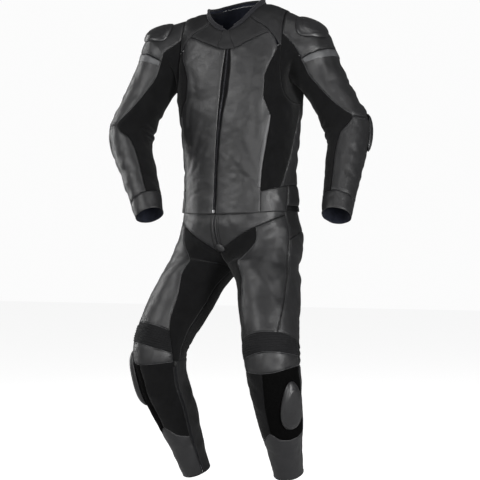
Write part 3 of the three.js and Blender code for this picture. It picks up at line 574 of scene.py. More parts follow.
LEG_FOLDS = table("side round down to_round to_down width depth bow", [
    ("both", 8, 176, 50, 160, 9, -1.1, 6),
    ("both", 34, 290, 60, 420, 12, -1.4, -7),
    ("both", 100, 140, 132, 170, 13, -1.0, 7),
    ("left", 100, 196, 134, 240, 14, -1.0, -8),
    ("right", 96, 190, 134, 228, 14, -1.2, 9),
    ("left", 108, 262, 140, 330, 14, -1.1, 8),
    ("right", 104, 250, 142, 300, 14, -1.3, -7),
    ("both", 92, 280, 112, 384, 14, -1.1, 6),
    ("both", 118, 330, 132, 402, 12, -1.0, -6),
    ("left", 148, 170, 154, 260, 12, -1.6, 5),
    ("both", 60, 60, 110, 88, 10, -1.5, 6),
    ("both", 20, 66, 44, 118, 9, -1.3, -4),
    ("both", 176, 60, 240, 84, 12, -1.8, 7),
    ("both", 186, 130, 262, 168, 14, -2.4, -9),
    ("both", 262, 188, 330, 210, 12, -3.0, 8),
    ("both", 270, 226, 336, 232, 11, -3.4, -6),
    ("left", 176, 220, 250, 262, 14, -2.4, 8),
    ("right", 180, 206, 246, 236, 14, -2.6, -7),
    ("both", 186, 300, 270, 330, 13, -2.0, 7),
    ("both", 200, 356, 292, 372, 11, -2.4, -6),
    ("both", 212, 412, 330, 420, 9, -3.2, 5),
    ("both", 206, 438, 336, 440, 8, -3.8, -5),
    ("both", 204, 462, 334, 462, 8, -3.6, 6),
    ("both", 210, 484, 330, 480, 8, -2.6, -4),
    ("both", 214, 520, 300, 540, 12, -2.2, 7),
    ("both", 232, 590, 330, 612, 12, -1.8, -7),
    ("both", 226, 660, 320, 684, 11, -2.0, 6),
    ("both", 40, 505, 88, 540, 9, -1.4, 5),
    ("both", 34, 560, 84, 600, 10, -1.4, -5),
    ("both", 40, 720, 150, 742, 9, -1.3, 6),
    ("both", 210, 742, 340, 760, 9, -1.8, -6),
])
FOLDS = {"torso": TORSO_FOLDS, "sleeve": SLEEVE_FOLDS, "leg": LEG_FOLDS}

# Long soft undulations of filled-out leather: wavelength and height in millimetres
WAVES = table("length height", [(120, 0.7), (84, 0.55), (61, 0.5), (43, 0.4), (31, 0.32), (23, 0.22)])


def wave_relief(points):
    """A gentle unevenness that is the same at a seam for both its pieces."""
    spread = np.random.default_rng(7)
    height = np.zeros(len(points))
    for wave in WAVES:
        for _ in range(3):
            way = unit(spread.normal(size=3)) * 2 * math.pi / wave["length"]
            bend = unit(spread.normal(size=3)) * math.pi / wave["length"]
            start = spread.uniform(0, 2 * math.pi)
            height += wave["height"] / 2 * np.sin(points @ way + start + 1.4 * np.sin(points @ bend))
    return height


def fold_relief(cloth, side, around, down):
    """The folds' height at each place. The torso is one cloth, so both its sides' folds count."""
    height = np.zeros(len(around))
    for fold in FOLDS[cloth.kind]:
        for fold_side in SIDES:
            if fold["side"] not in ("both", fold_side):
                continue
            if fold_side == side:
                height += one_fold(cloth, fold, around, down)
            elif cloth.kind == "torso":
                height += one_fold(cloth, fold, -around, down)
    return height


def one_fold(cloth, fold, around, down):
    nearest = (around - fold["round"] + 180) % 360 - 180
    x = nearest * cloth.per_degree
    y = down - fold["down"]
    reach_x = (fold["to_round"] - fold["round"]) * cloth.per_degree
    reach_y = fold["to_down"] - fold["down"]
    length = math.hypot(reach_x, reach_y)
    t = np.clip((x * reach_x + y * reach_y) / length**2, -0.2, 1.2)
    off = (x * reach_y - y * reach_x) / length - fold["bow"] * np.sin(math.pi * t)
    fade = np.sin(math.pi * np.clip((t + 0.1) / 1.2, 0, 1)) ** 0.8
    wide = fold["width"] * (0.75 + 0.5 * np.clip(t, 0, 1))
    trough = np.exp(-((off / wide) ** 2))
    ridge = np.exp(-(((off - 1.7 * wide) / (1.1 * wide)) ** 2))
    return fold["depth"] * fade * (trough - 0.55 * ridge)


def rib_relief(around, down):
    return RIB_HEIGHT / 2 * (1 - np.cos(2 * math.pi * (down - RIB_START) / RIB_PITCH))


# Pieces. window is the cloth looked at: from and to down it, from and to round it.
TORSO_BACK = (67.5, 292.5)
OUTSIDE = (-112.5, 112.5)
OUTER_SIDES = [before("sleeve_outer"), before("sleeve_outer", 0)]
SIDE_PIECES = {
    "chest_yoke": ("torso", "leather", (0, 140, 0, 70), [
        after("zip_edge"), before("shoulder_front"), before("yoke_point")]),
    "front": ("torso", "leather", (56, 596, 0, 70), [
        after("zip_edge"), before("front_edge"), before("shoulder_front"), after("yoke_point")]),
    "side_stretch": ("torso", "stretch", (72, 560, 20, 120), [
        off_armhole(), after("front_edge"), after("yoke_low"), before("side_back"), before("waist_seam")]),
    "hem_leather": ("torso", "leather", (492, 596, 40, 95), [
        after("front_edge"), after("waist_seam"), before("hem_split")]),
    "shoulder_cap": ("sleeve", "leather", (0.4, 130, *OUTSIDE), [*OUTER_SIDES, before("cap_low")]),
    "upper_sleeve": ("sleeve", "leather", (78, 328, *OUTSIDE), [
        *OUTER_SIDES, after("cap_low"), before("elbow")]),
    "forearm": ("sleeve", "leather", (276, 564, *OUTSIDE), [
        *OUTER_SIDES, after("elbow"), before("cuff_top")]),
    "sleeve_stretch": ("sleeve", "stretch", (0.4, 564, 22.5, 337.5), [
        after("sleeve_outer"), after("sleeve_outer", 360), before("cuff_top")]),
    "cuff": ("sleeve", "leather", (512, 590, 0, 360), [after("cuff_top")]),
    "belly_yoke": ("thigh", "leather", (40, 182, 0, 180), [before("belly_point"), before("side_seam")]),
    "thigh_stretch": ("thigh", "stretch", (68, 520, 0, 120), [
        after("belly_point"), before("inner_edge"), before("knee_low")]),
    "thigh_front": ("thigh", "leather", (40, 430, 20, 180), [
        after("belly_point"), after("inner_edge"), before("side_seam"), before("rib_top")]),
    "hip_yoke": ("thigh", "leather", (40, 182, 140, 360), [after("side_seam"), before("hip_seam")]),
    "thigh_back": ("thigh", "leather", (96, 452, 120, 360), [
        after("side_seam"), after("hip_seam"), before("rib_top"), before("crotch_back")]),
    "inner_thigh": ("thigh", "stretch", (96, 452, 250, 360), [
        after("crotch_back"), after("hip_seam"), before("rib_top")]),
    "knee_back": ("thigh", "stretch", (386, 520, 180, 360), [
        after("knee_outer"), after("rib_top"), before("knee_low")]),
    "knee_ribs": ("thigh", "stretch", (400, 480, 0, 220), [
        after("rib_top"), before("rib_low"), after("inner_edge"), before("knee_outer")]),
    "knee_leather": ("thigh", "leather", (430, 520, 0, 220), [
        after("rib_low"), before("knee_low"), after("inner_edge"), before("knee_outer")]),
    "shin_field": ("shin", "hook_pile", (472, 728, 80, 220), [
        after("knee_low"), before("shin_low"), after("field_edge"), before("knee_outer")]),
    "shin_stretch": ("shin", "stretch", (472, 728, 0, 120), [
        after("knee_low"), before("shin_low"), after("calf_zip"), before("field_edge")]),
    "shin_leather": ("shin", "leather", (620, 800, 0, 220), [
        after("shin_low"), after("calf_zip"), before("knee_outer")]),
    "calf": ("shin", "leather", (472, 800, 180, 400), [
        after("knee_low"), after("knee_outer"), before("calf_zip", start=360)]),
}
MIDDLE_PIECES = {
    "collar": ("torso", "leather", (-28, -0.2, 0, 360), [after("collar_front"), after("collar_front", 360)]),
    "shoulder_yoke": ("torso", "leather", (0.2, 200, 33.75, 326.25), [
        off_armhole(), off_armhole(360), after("shoulder_front"), after("shoulder_front", 360),
        before("yoke_low")]),
    "back_panel": ("torso", "leather", (112, 560, *TORSO_BACK), [
        off_armhole(), off_armhole(360), after("yoke_low"), before("waist_seam"),
        after("side_back"), after("side_back", 360)]),
    "hem_stretch": ("torso", "stretch", (492, 596, *TORSO_BACK), [
        after("waist_seam"), after("hem_split"), after("hem_split", 360)]),
}


# Making cloth
def flat_places(bm):
    around = np.array([vert.co.x for vert in bm.verts])
    down = np.array([vert.co.y for vert in bm.verts])
    return around, down


def cut_cloth(cloth, window, edges, cell=CELL):
    """A flat grid, cut along its seams. Each seam in turn gives every point its distance as a
    height, and a level plane cuts there."""
    low, high, first, last = window
    across = max(2, round((last - first) * cloth.per_degree / cell))
    along = max(2, round((high - low) / cell))
    bm = bmesh.new()
    bmesh.ops.create_grid(bm, x_segments=across, y_segments=along, size=1)
    size = Matrix.Diagonal(((last - first) / 2, (high - low) / 2, 1, 1))
    middle = Matrix.Translation(((first + last) / 2, (low + high) / 2, 0))
    bmesh.ops.transform(bm, matrix=middle @ size, verts=bm.verts)
    for edge in edges:
        around, down = flat_places(bm)
        heights = seam_distance(cloth, edge, around, down) - edge.get("inside", 0)
        for vert, height in zip(bm.verts, heights):
            vert.co.z = height
        everything = bm.verts[:] + bm.edges[:] + bm.faces[:]
        bmesh.ops.bisect_plane(
            bm, geom=everything, dist=0.05, plane_co=(0, 0, SEAM_GAP / 2), plane_no=(0, 0, 1), clear_inner=True
        )
    many_sided = [face for face in bm.faces if len(face.verts) > 4]
    bmesh.ops.triangulate(bm, faces=many_sided)
    return bm


def inside(edge, distance):
    return {**edge, "inside": distance}


def seam_gap(cloth, edges, around, down):
    """How far each point lies from the nearest seam round its piece."""
    gaps = [np.abs(down)]
    for edge in edges:
        gaps.append(np.abs(seam_distance(cloth, edge, around, down)))
    return np.min(gaps, axis=0)


def on_cloth(cloth, side, around, down, gap, lift=0):
    """Points on the worn cloth, with its folds and the dips along its seams."""
    flat = cloth.point(around, down)
    out = cloth.normal(around, down)
    height = lift - SEAM_DIP * np.exp(-gap / SEAM_SOFTNESS)
    height = height + fold_relief(cloth, side, around, down) + wave_relief(flat)
    return (flat + out * np.reshape(height, (-1, 1))) * MM


def lay_cloth(bm, cloth, side, edges, lift=None, flat_size=None):
    """Takes the flat cut to its place on the suit, with its flat places kept as a UV map."""
    around, down = flat_places(bm)
    gap = seam_gap(cloth, edges, around, down)
    extra = 0 if lift is None else lift(around, down, gap)
    points = on_cloth(cloth, side, around, down, gap, extra)
    flat_map = bm.loops.layers.uv.new("flat")
    near_seam = bm.verts.layers.float.new("near_seam")
    for face in bm.faces:
        for loop in face.loops:
            loop[flat_map].uv = (loop.vert.co.x * cloth.per_degree * MM, loop.vert.co.y * MM)
    for vert, point, distance in zip(bm.verts, points, gap):
        vert.co = point
        # near_seam later drives the painted shade along the seams in the leather finishes
        vert[near_seam] = math.exp(-distance / SEAM_SOFTNESS)
    if not cloth.mirrored:
        bmesh.ops.reverse_faces(bm, faces=bm.faces)
    bmesh.ops.remove_doubles(bm, verts=bm.verts, dist=0.02 * MM)
    return around, down


def flat_size(cloth, around, down):
    """Width and length of the cut, measured along the cloth."""
    length = 0
    width = 0
    for low in np.arange(down.min(), down.max(), 20):
        row = (down >= low) & (down <= low + 20)
        if row.any():
            span = np.linspace(around[row].min(), around[row].max(), 40)
            points = cloth.point(span, np.full(40, low + 10))
            width = max(width, np.linalg.norm(np.diff(points, axis=0), axis=1).sum())
    middle = (around.min() + around.max()) / 2
    line = np.linspace(down.min(), down.max(), 60)
    for place in (around.min(), middle, around.max()):
        points = cloth.point(np.full(60, place), line)
        length = max(length, np.linalg.norm(np.diff(points, axis=0), axis=1).sum())
    return width * MM, length * MM


def new_object(name, bm, materials, smooth=True):
    mesh = bpy.data.meshes.new(name)
    for face in bm.faces:
        face.smooth = smooth
    bm.to_mesh(mesh)
    bm.free()
    for material in materials:
        mesh.materials.append(material)
    piece = bpy.data.objects.new(name, mesh)
    bpy.context.scene.collection.objects.link(piece)
    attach(piece, "root")
    return piece


def add_wall(piece, thickness=WALL):
    wall = piece.modifiers.new("wall", "SOLIDIFY")
    wall.thickness = thickness * MM
    wall.offset = -1
    wall.use_even_offset = False
    wall.material_offset = len(piece.data.materials) - 1
    return wall


def sew_piece(name, cloth_name, side, finish, window, edges, node, lift=None, cell=CELL, wall=WALL):
    cloth = CLOTHS[cloth_name, side]
    bm = cut_cloth(cloth, window, edges, cell)
    around, down = lay_cloth(bm, cloth, side, edges, lift)
    area = sum(face.calc_area() for face in bm.faces)
    piece = new_object(name, bm, [FINISHES[finish], FINISHES["lining"]])
    add_wall(piece, wall)
    width, length = flat_size(cloth, around, down)
    if node:
        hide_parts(node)
    return piece


def tubes(name, lines, radius, finish, sides=6, closed=False):
    """Round tubes along lines of points: piping, binding and thread."""
    curve = bpy.data.curves.new(name, "CURVE")
    curve.dimensions = "3D"
    curve.bevel_depth = radius * MM
    curve.bevel_resolution = max(0, sides // 2 - 2)
    curve.use_fill_caps = True
    for line in lines:
        spline = curve.splines.new("POLY")
        spline.points.add(len(line) - 1)
        rows = np.ones((len(line), 4))
        rows[:, :3] = line
        spline.points.foreach_set("co", rows.ravel())
        spline.use_cyclic_u = closed
    drawn = bpy.data.objects.new(name + "_line", curve)
    mesh = bpy.data.meshes.new_from_object(drawn)
    mesh.name = name
    bpy.data.objects.remove(drawn)
    bpy.data.curves.remove(curve)
    mesh.materials.clear()
    mesh.materials.append(FINISHES[finish])
    mesh.shade_smooth()
    piece = bpy.data.objects.new(name, mesh)
    bpy.context.scene.collection.objects.link(piece)
    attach(piece, "root")
    return piece


def seam_line(cloth, edge, offset, window, step):
    """Places every step millimetres along a piece's edge, offset to its inside."""
    low, high, first, last = window
    if edge["seam"] == "armhole":
        turn = np.arange(0, 360, step / 1.9)
        c = np.cos(np.radians(turn))
        s = np.sin(np.radians(turn))
        more = 1 + offset / ARMHOLE_RADIUS
        reach = np.where(c > 0, ARMHOLE["up"], ARMHOLE["down"]) * more
        width = np.where(s > 0, ARMHOLE["front"], ARMHOLE["back"]) * more
        place = ARMHOLE["round"] - width * power(s, ARMHOLE["square"])
        down = ARMHOLE["v"] - reach * power(c, ARMHOLE["square"])
    else:
        way, rows = SEAMS[edge["seam"]]
        downs = [row[0] for row in rows]
        places = [row[1] for row in rows]
        if way == "lengthwise":
            down = np.arange(low, high, step)
            place = smooth_line(downs, places, down) + edge["keep"] * offset / cloth.per_degree
        else:
            ends = seam_place(edge, np.array([first, last], float))
            place = np.arange(ends.min(), ends.max(), step / cloth.per_degree)
            down = smooth_line(places, downs, place) + edge["keep"] * offset
    around = place + edge["start"] if edge["mirror"] is None else edge["mirror"] - place
    return around, down


def stays_inside(cloth, edges, skipped, window, around, down, margin):
    low, high, first, last = window
    kept = (down > low + margin) & (down < high - margin)
    kept &= (around > first - 1e-6) & (around < last + 1e-6)
    for edge in edges:
        if edge is not skipped:
            kept &= seam_distance(cloth, edge, around, down) > margin
    return kept


def stitches_along(cloth, side, window, edges, edge, offset, lift=0.25):
    """Short stitches on a row that runs beside an edge, one line of two points each."""
    around, down = seam_line(cloth, edge, offset, window, STITCH_PITCH / 6)
    if len(around) < 8:
        return []
    kept = stays_inside(cloth, edges, edge, window, around, down, 1.5)
    gap = np.minimum(seam_gap(cloth, edges, around, down), offset)
    points = on_cloth(cloth, side, around, down, gap, lift)
    steps = np.linalg.norm(np.diff(points, axis=0), axis=1) / MM
    way = np.concatenate([[0], np.cumsum(steps)])
    lines = []
    for begin in np.arange(1, way[-1] - STITCH_LENGTH, STITCH_PITCH):
        i = np.searchsorted(way, begin)
        j = min(np.searchsorted(way, begin + STITCH_LENGTH), len(way) - 1)
        if kept[i] and kept[j] and steps[min(i, len(steps) - 1)] < STITCH_PITCH:
            lines.append(points[[i, j]])
    return lines


def edge_runs(cloth, side, window, edges, edge, offset, lift, step=4, margin=0.5):
    """Unbroken lines of points beside an edge, for piping."""
    around, down = seam_line(cloth, edge, offset, window, step)
    kept = stays_inside(cloth, edges, edge, window, around, down, margin)
    gap = np.full(len(around), max(offset, 0.1))
    points = on_cloth(cloth, side, around, down, gap, lift)
    lines = []
    run = []
    for point, is_kept in zip(points, kept):
        if is_kept:
            run.append(point)
        elif len(run) > 1:
            lines.append(np.array(run))
            run = []
        else:
            run = []
    if len(run) > 1:
        lines.append(np.array(run))
    return lines


def small_blocks(name, places, finish):
    """Many small blocks in one mesh. Each place is its middle, its three axes and its size."""
    block = bmesh.new()
    bmesh.ops.create_cube(block, size=1)
    bmesh.ops.bevel(block, geom=block.edges[:], offset=0.14, segments=1, profile=0.5, material=-1, affect="EDGES")
    unit_block = bpy.data.meshes.new("unit_block")
    block.to_mesh(unit_block)
    block.free()
    bm = bmesh.new()
    for middle, axes, size in places:
        turned = Matrix([Vector(axis) * length * MM for axis, length in zip(axes, size)]).transposed().to_4x4()
        turned.translation = Vector(middle)
        unit_block.transform(turned)
        bm.from_mesh(unit_block)
        unit_block.transform(turned.inverted())
    bpy.data.meshes.remove(unit_block)
    piece = new_object(name, bm, [FINISHES[finish]], smooth=False)
    return piece


def zip_teeth(name, cloth, side, around, down, lift, size=(3.6, 1.2, 1.4), pitch=1.5, finish="zip_metal"):
    """Two interlocked rows of teeth along a line of places."""
    points = on_cloth(cloth, side, around, down, np.full(len(around), 30.0), lift)
    steps = np.linalg.norm(np.diff(points, axis=0), axis=1)
    way = np.concatenate([[0], np.cumsum(steps)]) / MM
    out = cloth.normal(around, down)
    places = []
    for number, at in enumerate(np.arange(pitch, way[-1] - pitch, pitch)):
        middle = np.array([np.interp(at, way, points[:, k]) for k in range(3)])
        ahead = np.array([np.interp(at + 0.8, way, points[:, k]) for k in range(3)])
        behind = np.array([np.interp(at - 0.8, way, points[:, k]) for k in range(3)])
        along = unit(ahead - behind)
        up = unit([np.interp(at, way, out[:, k]) for k in range(3)])
        across = unit(np.cross(along, up))
        shift = (1 if number % 2 else -1) * size[0] * 0.28 * MM
        places.append((middle + across * shift, (across, along, np.cross(across, along)), size))
    return small_blocks(name, places, finish)


def hard_slider(name, cloth_name, side, oval, profile, finish, node):
    """A domed plate: its profile is spun round, then laid on the cloth as a rounded outline."""
    cloth = CLOTHS[cloth_name, side]
    bm = bmesh.new()
    rim = [bm.verts.new((reach, 0, height)) for reach, height in profile]
    for first, second in zip(rim, rim[1:]):
        bm.edges.new((first, second))
    bmesh.ops.spin(
        bm, geom=bm.verts[:] + bm.edges[:], cent=(0, 0, 0), axis=(0, 0, 1), steps=72, angle=2 * math.pi, use_merge=True
    )
    bmesh.ops.remove_doubles(bm, verts=bm.verts, dist=1e-5)
    x = np.array([vert.co.x for vert in bm.verts])
    y = np.array([vert.co.y for vert in bm.verts])
    height = np.array([vert.co.z for vert in bm.verts])
    reach = np.hypot(x, y)
    turn = np.arctan2(y, x)
    lengthways = oval["tall"] * reach * power(np.sin(turn), oval["square"])
    narrowed = 1 + oval["taper"] * lengthways / oval["tall"]
    sideways = oval["wide"] * reach * power(np.cos(turn), oval["square"]) * narrowed
    sideways = sideways + oval["slant"] * lengthways
    around = oval["round"] + sideways / cloth.per_degree
    down = oval["down"] + lengthways
    flat = cloth.point(around, down)
    out = cloth.normal(around, down)
    for vert, point in zip(bm.verts, (flat + out * height[:, None]) * MM):
        vert.co = point
    bmesh.ops.recalc_face_normals(bm, faces=bm.faces)
    piece = new_object(name, bm, [FINISHES[finish]])
    if node:
        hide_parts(node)
    return piece


def patch(name, cloth_name, side, finish, window, slant=0, lift=0.9, wall=0.8, bow=0):
    """A flat applied piece, slanted or bowed on the cloth: window is down, to, round, to."""
    cloth = CLOTHS[cloth_name, side]
    bm = cut_cloth(cloth, window, [], cell=3)
    middle = (window[2] + window[3]) / 2
    for vert in bm.verts:
        across = (vert.co.x - middle) * cloth.per_degree
        vert.co.y += slant * across + bow * across * across
    lay_cloth(bm, cloth, side, [], lambda around, down, gap: lift)
    piece = new_object(name, bm, [FINISHES[finish]])
    add_wall(piece, wall)
    return piece


def hem_ribs(around, down, gap):
    """Upright ribs of the gathered elastic band."""
    return -1.2 + 0.7 * np.cos(2 * math.pi * around * CLOTHS["torso", "left"].per_degree / 6.5)


def fly_tab(name, down, half_wide, tall, lift):
    """A half-round leather tab at the foot of the fly, on both halves of the trousers."""
    cloth = CLOTHS["thigh", "left"]
    bm = bmesh.new()
    bmesh.ops.create_circle(bm, cap_ends=True, radius=1, segments=40)
    bmesh.ops.subdivide_edges(bm, edges=bm.edges[:], cuts=2, use_grid_fill=True)
    bmesh.ops.poke(bm, faces=[face for face in bm.faces if len(face.verts) > 4])
    x = np.array([vert.co.x for vert in bm.verts])
    y = np.array([vert.co.y for vert in bm.verts])
    places = np.full(len(x), 30.0)
    rim = 0.8 * (x**2 + y**2) ** 4
    points = on_cloth(cloth, "left", x * half_wide / cloth.per_degree, down - y * tall * np.where(y > 0, 1, 0.12),
                      places, lift - rim)
    for vert, point in zip(bm.verts, points):
        vert.co = point
    bmesh.ops.recalc_face_normals(bm, faces=bm.faces)
    piece = new_object(name, bm, [FINISHES["leather"], FINISHES["leather"]])
    add_wall(piece, 1.2)
    return piece


# Finishes
def start_material(name):
    material = bpy.data.materials.new(name)
    material.use_nodes = True
    tree = material.node_tree
    shader = tree.nodes["Principled BSDF"]
    return material, tree, shader


def add_node(tree, kind, settings=None, **inputs):
    """A node with its plain settings, its input values and its links."""
    made = tree.nodes.new("ShaderNode" + kind)
    for name, value in (settings or {}).items():
        setattr(made, name, value)
    for name, value in inputs.items():
        socket = made.inputs[name.replace("_", " ")]
        if isinstance(value, bpy.types.NodeSocket):
            tree.links.new(value, socket)
        else:
            socket.default_value = value
    return made


def object_places(tree):
    return add_node(tree, "TexCoord").outputs["Object"]


def noise(tree, places, scale, detail=3.0, roughness=0.55, distortion=0.0):
    made = add_node(
        tree, "TexNoise", Vector=places, Scale=scale, Detail=detail, Roughness=roughness, Distortion=distortion
    )
    return made.outputs["Fac"]


def ramp(tree, value, low, high, first, last):
    """value from low to high becomes first to last."""
    made = add_node(tree, "MapRange", Value=value)
    made.inputs["From Min"].default_value = low
    made.inputs["From Max"].default_value = high
    made.inputs["To Min"].default_value = first
    made.inputs["To Max"].default_value = last
    return made.outputs["Result"]


def colours(tree, value, dark, light):
    made = add_node(tree, "ValToRGB", Fac=value)
    made.color_ramp.elements[0].color = (*dark, 1)
    made.color_ramp.elements[1].color = (*light, 1)
    return made.outputs["Color"]


def bump(tree, height, strength, distance, under=None):
    made = add_node(tree, "Bump", Height=height, Strength=strength, Distance=distance)
    if under is not None:
        tree.links.new(under, made.inputs["Normal"])
    return made.outputs["Normal"]


def leather_finish(name, dark, light, rough, specular=0.5, coat=0.0, grain=1.0):
    """Cowhide: pebble grain, fine creases, clouded tone and painted shade that darkens the colour along its seams."""
    material, tree, shader = start_material(name)
    places = object_places(tree)
    pebble = add_node(tree, "TexVoronoi", {"feature": "F1"}, Vector=places, Scale=720.0).outputs["Distance"]
    pores = noise(tree, places, 1500.0, 2.0)
    creases = noise(tree, places, 75.0, 6.0, 0.6, 0.6)
    cloud = noise(tree, places, 20.0, 4.0, 0.55, 0.3)
    fold = bump(tree, creases, 0.16 * grain, 0.002)
    soft = bump(tree, cloud, 0.16 * grain, 0.006, fold)
    grained = bump(tree, pebble, 0.3 * grain, 0.0005, soft)
    tree.links.new(bump(tree, pores, 0.1, 0.0002, grained), shader.inputs["Normal"])
    shade = colours(tree, ramp(tree, cloud, 0.3, 0.7, 0, 1), dark, light)
    # Painted shade: the colour turns up to about a quarter darker close to each seam, where the cloth dips
    seam_shade = add_node(tree, "Attribute", {"attribute_name": "near_seam"}).outputs["Fac"]
    edge = add_node(tree, "MixRGB", Fac=ramp(tree, seam_shade, 0.25, 0.9, 0.0, 0.5), Color1=shade)
    edge.inputs["Color2"].default_value = (*[channel * 0.45 for channel in dark], 1)
    tree.links.new(edge.outputs["Color"], shader.inputs["Base Color"])
    tree.links.new(ramp(tree, creases, 0.3, 0.7, rough - 0.04, rough + 0.06), shader.inputs["Roughness"])
    shader.inputs["Specular IOR Level"].default_value = specular
    shader.inputs["Coat Weight"].default_value = coat
    shader.inputs["Coat Roughness"].default_value = 0.32
    return material


def woven_finish(name, dark, light, rough, pitch=1.1, sheen=0.06, depth=0.5, two_ways=True):
    """Stretch weave: crossed threads that follow the flat cloth, with a soft uneven shade."""
    material, tree, shader = start_material(name)
    flat = add_node(tree, "UVMap", {"uv_map": "flat"}).outputs["UV"]
    places = object_places(tree)
    bands = []
    for direction in ("X", "Y") if two_ways else ("Y",):
        band = add_node(
            tree, "TexWave", {"wave_type": "BANDS", "bands_direction": direction}, Vector=flat,
            Scale=0.314 / (pitch * MM), Distortion=0.6, Detail=1.0,
        )
        bands.append(band.outputs["Fac"])
    threads = bands[0]
    if two_ways:
        threads = add_node(tree, "Math", {"operation": "MULTIPLY"}).outputs["Value"]
        tree.links.new(bands[0], threads.node.inputs[0])
        tree.links.new(bands[1], threads.node.inputs[1])
    cloud = noise(tree, places, 24.0, 4.0, 0.6, 0.8)
    soft = bump(tree, cloud, 0.3, 0.005)
    tree.links.new(bump(tree, threads, depth, 0.0004, soft), shader.inputs["Normal"])
    shade = colours(tree, ramp(tree, cloud, 0.3, 0.7, 0, 1), dark, light)
    tree.links.new(shade, shader.inputs["Base Color"])
    tree.links.new(ramp(tree, threads, 0, 1, rough + 0.08, rough - 0.06), shader.inputs["Roughness"])
    shader.inputs["Sheen Weight"].default_value = sheen
    shader.inputs["Sheen Roughness"].default_value = 0.5
    shader.inputs["Specular IOR Level"].default_value = 0.08
    return material


def pile_finish(name, dark, light):
    """Hook-and-loop field: a dense mat of short loops."""
    material, tree, shader = start_material(name)
    places = object_places(tree)
    loops = add_node(tree, "TexVoronoi", {"feature": "F1"}, Vector=places, Scale=560.0).outputs["Distance"]
    tufts = noise(tree, places, 260.0, 4.0, 0.7)
    rough = bump(tree, tufts, 0.6, 0.001)
    tree.links.new(bump(tree, loops, 0.7, 0.0012, rough), shader.inputs["Normal"])
    tree.links.new(colours(tree, ramp(tree, tufts, 0.3, 0.7, 0, 1), dark, light), shader.inputs["Base Color"])
    shader.inputs["Roughness"].default_value = 0.95
    shader.inputs["Specular IOR Level"].default_value = 0.04
    return material


def moulded_finish(name, dark, light, rough, metallic=0.0, scratch=0.25):
    """Moulded plastic or plated metal with faint scuffs."""
    material, tree, shader = start_material(name)
    places = object_places(tree)
    stretched = add_node(tree, "Mapping", {"vector_type": "POINT"}, Vector=places, Scale=(1.0, 1.0, 0.12))
    scuffs = noise(tree, stretched.outputs["Vector"], 420.0, 5.0, 0.7, 0.3)
    cloud = noise(tree, places, 70.0, 3.0)
    grain = bump(tree, noise(tree, places, 1300.0, 2.0), 0.12, 0.0003)
    tree.links.new(bump(tree, scuffs, scratch, 0.0004, grain), shader.inputs["Normal"])
    tree.links.new(colours(tree, ramp(tree, cloud, 0.3, 0.7, 0, 1), dark, light), shader.inputs["Base Color"])
    tree.links.new(ramp(tree, scuffs, 0.35, 0.75, rough - 0.05, rough + 0.18), shader.inputs["Roughness"])
    shader.inputs["Metallic"].default_value = metallic
    return material


FINISHES = {
    "leather": leather_finish("black_cowhide", (0.0072, 0.0072, 0.0077), (0.0105, 0.0105, 0.0112), 0.43, 0.45),
    "dull_leather": leather_finish("matt_cowhide", (0.0066, 0.0066, 0.0071), (0.0095, 0.0095, 0.0101), 0.56, 0.25),
    "lower_leather": leather_finish("smooth_cowhide", (0.0095, 0.0095, 0.0105), (0.014, 0.014, 0.0152), 0.4, 0.45),
    # Painted shade: a darker copy of the leather for the calves, which face away from the lights
    "shaded_leather": leather_finish("painted_shade_cowhide", (0.0045, 0.0045, 0.0048), (0.008, 0.008, 0.0085), 0.46, 0.3),
    "stretch": woven_finish("stretch_weave", (0.0020, 0.0020, 0.0022), (0.0036, 0.0036, 0.0039), 0.85),
    "ribbed": woven_finish("ribbed_stretch", (0.0048, 0.0048, 0.0052), (0.0078, 0.0078, 0.0084), 0.6, 0.9, 0.03),
    "lining": woven_finish("mesh_lining", (0.0075, 0.0085, 0.013), (0.015, 0.017, 0.026), 0.9, 2.2, 0.04, 0.8),
    "binding": woven_finish("neoprene_binding", (0.0095, 0.0095, 0.011), (0.015, 0.015, 0.0175), 0.65, 0.8, 0.1, 0.3),
    "hook_pile": pile_finish("hook_and_loop", (0.0008, 0.0008, 0.0008), (0.0020, 0.0020, 0.0020)),
    "trim": leather_finish("grey_trim", (0.028, 0.028, 0.029), (0.042, 0.042, 0.044), 0.46, grain=0.5),
    "light_band": leather_finish("light_band", (0.040, 0.041, 0.043), (0.058, 0.059, 0.061), 0.48, grain=0.5),
    "thread": moulded_finish("bonded_thread", (0.014, 0.014, 0.015), (0.024, 0.024, 0.026), 0.6),
    "slider": moulded_finish("slider_plastic", (0.0075, 0.0075, 0.008), (0.013, 0.013, 0.014), 0.34),
    "zip_metal": moulded_finish("zip_metal", (0.02, 0.02, 0.022), (0.045, 0.045, 0.05), 0.36, 0.9),
    "zip_tape": woven_finish("zip_tape", (0.002, 0.002, 0.002), (0.0035, 0.0035, 0.004), 0.75, 0.7, 0.0, 0.5),
    "bright_metal": moulded_finish("bright_metal", (0.45, 0.45, 0.46), (0.6, 0.6, 0.61), 0.28, 1.0, 0.15),
}


# Cloth pieces of both sides
# The calves take the painted-shade copy of the leather
OWN_FINISH = {
    "knee_ribs": "ribbed", "shin_leather": "lower_leather", "calf": "shaded_leather", "chest_yoke": "dull_leather",
    "shoulder_yoke": "dull_leather", "collar": "binding",
}
for side in SIDES:
    for part, (cloth_name, finish, window, edges) in SIDE_PIECES.items():
        lift = None
        cell = CELL
        if part == "knee_ribs":
            cell = RIB_PITCH / 4

            def lift(around, down, gap):
                return rib_relief(around, down) * np.clip(gap / 4, 0, 1)

        name = f"{part}_{side}"
        node = f"thigh_back_{side}" if part == "inner_thigh" else name
        shown = OWN_FINISH.get(part, finish)
        sew_piece(name + "_cloth", cloth_name, side, shown, window, edges, node, lift, cell)

for part, (cloth_name, finish, window, edges) in MIDDLE_PIECES.items():
    if part == "hem_stretch":
        continue
    shown = OWN_FINISH.get(part, finish)
    sew_piece(part + "_cloth", cloth_name, "left", shown, window, edges, part)

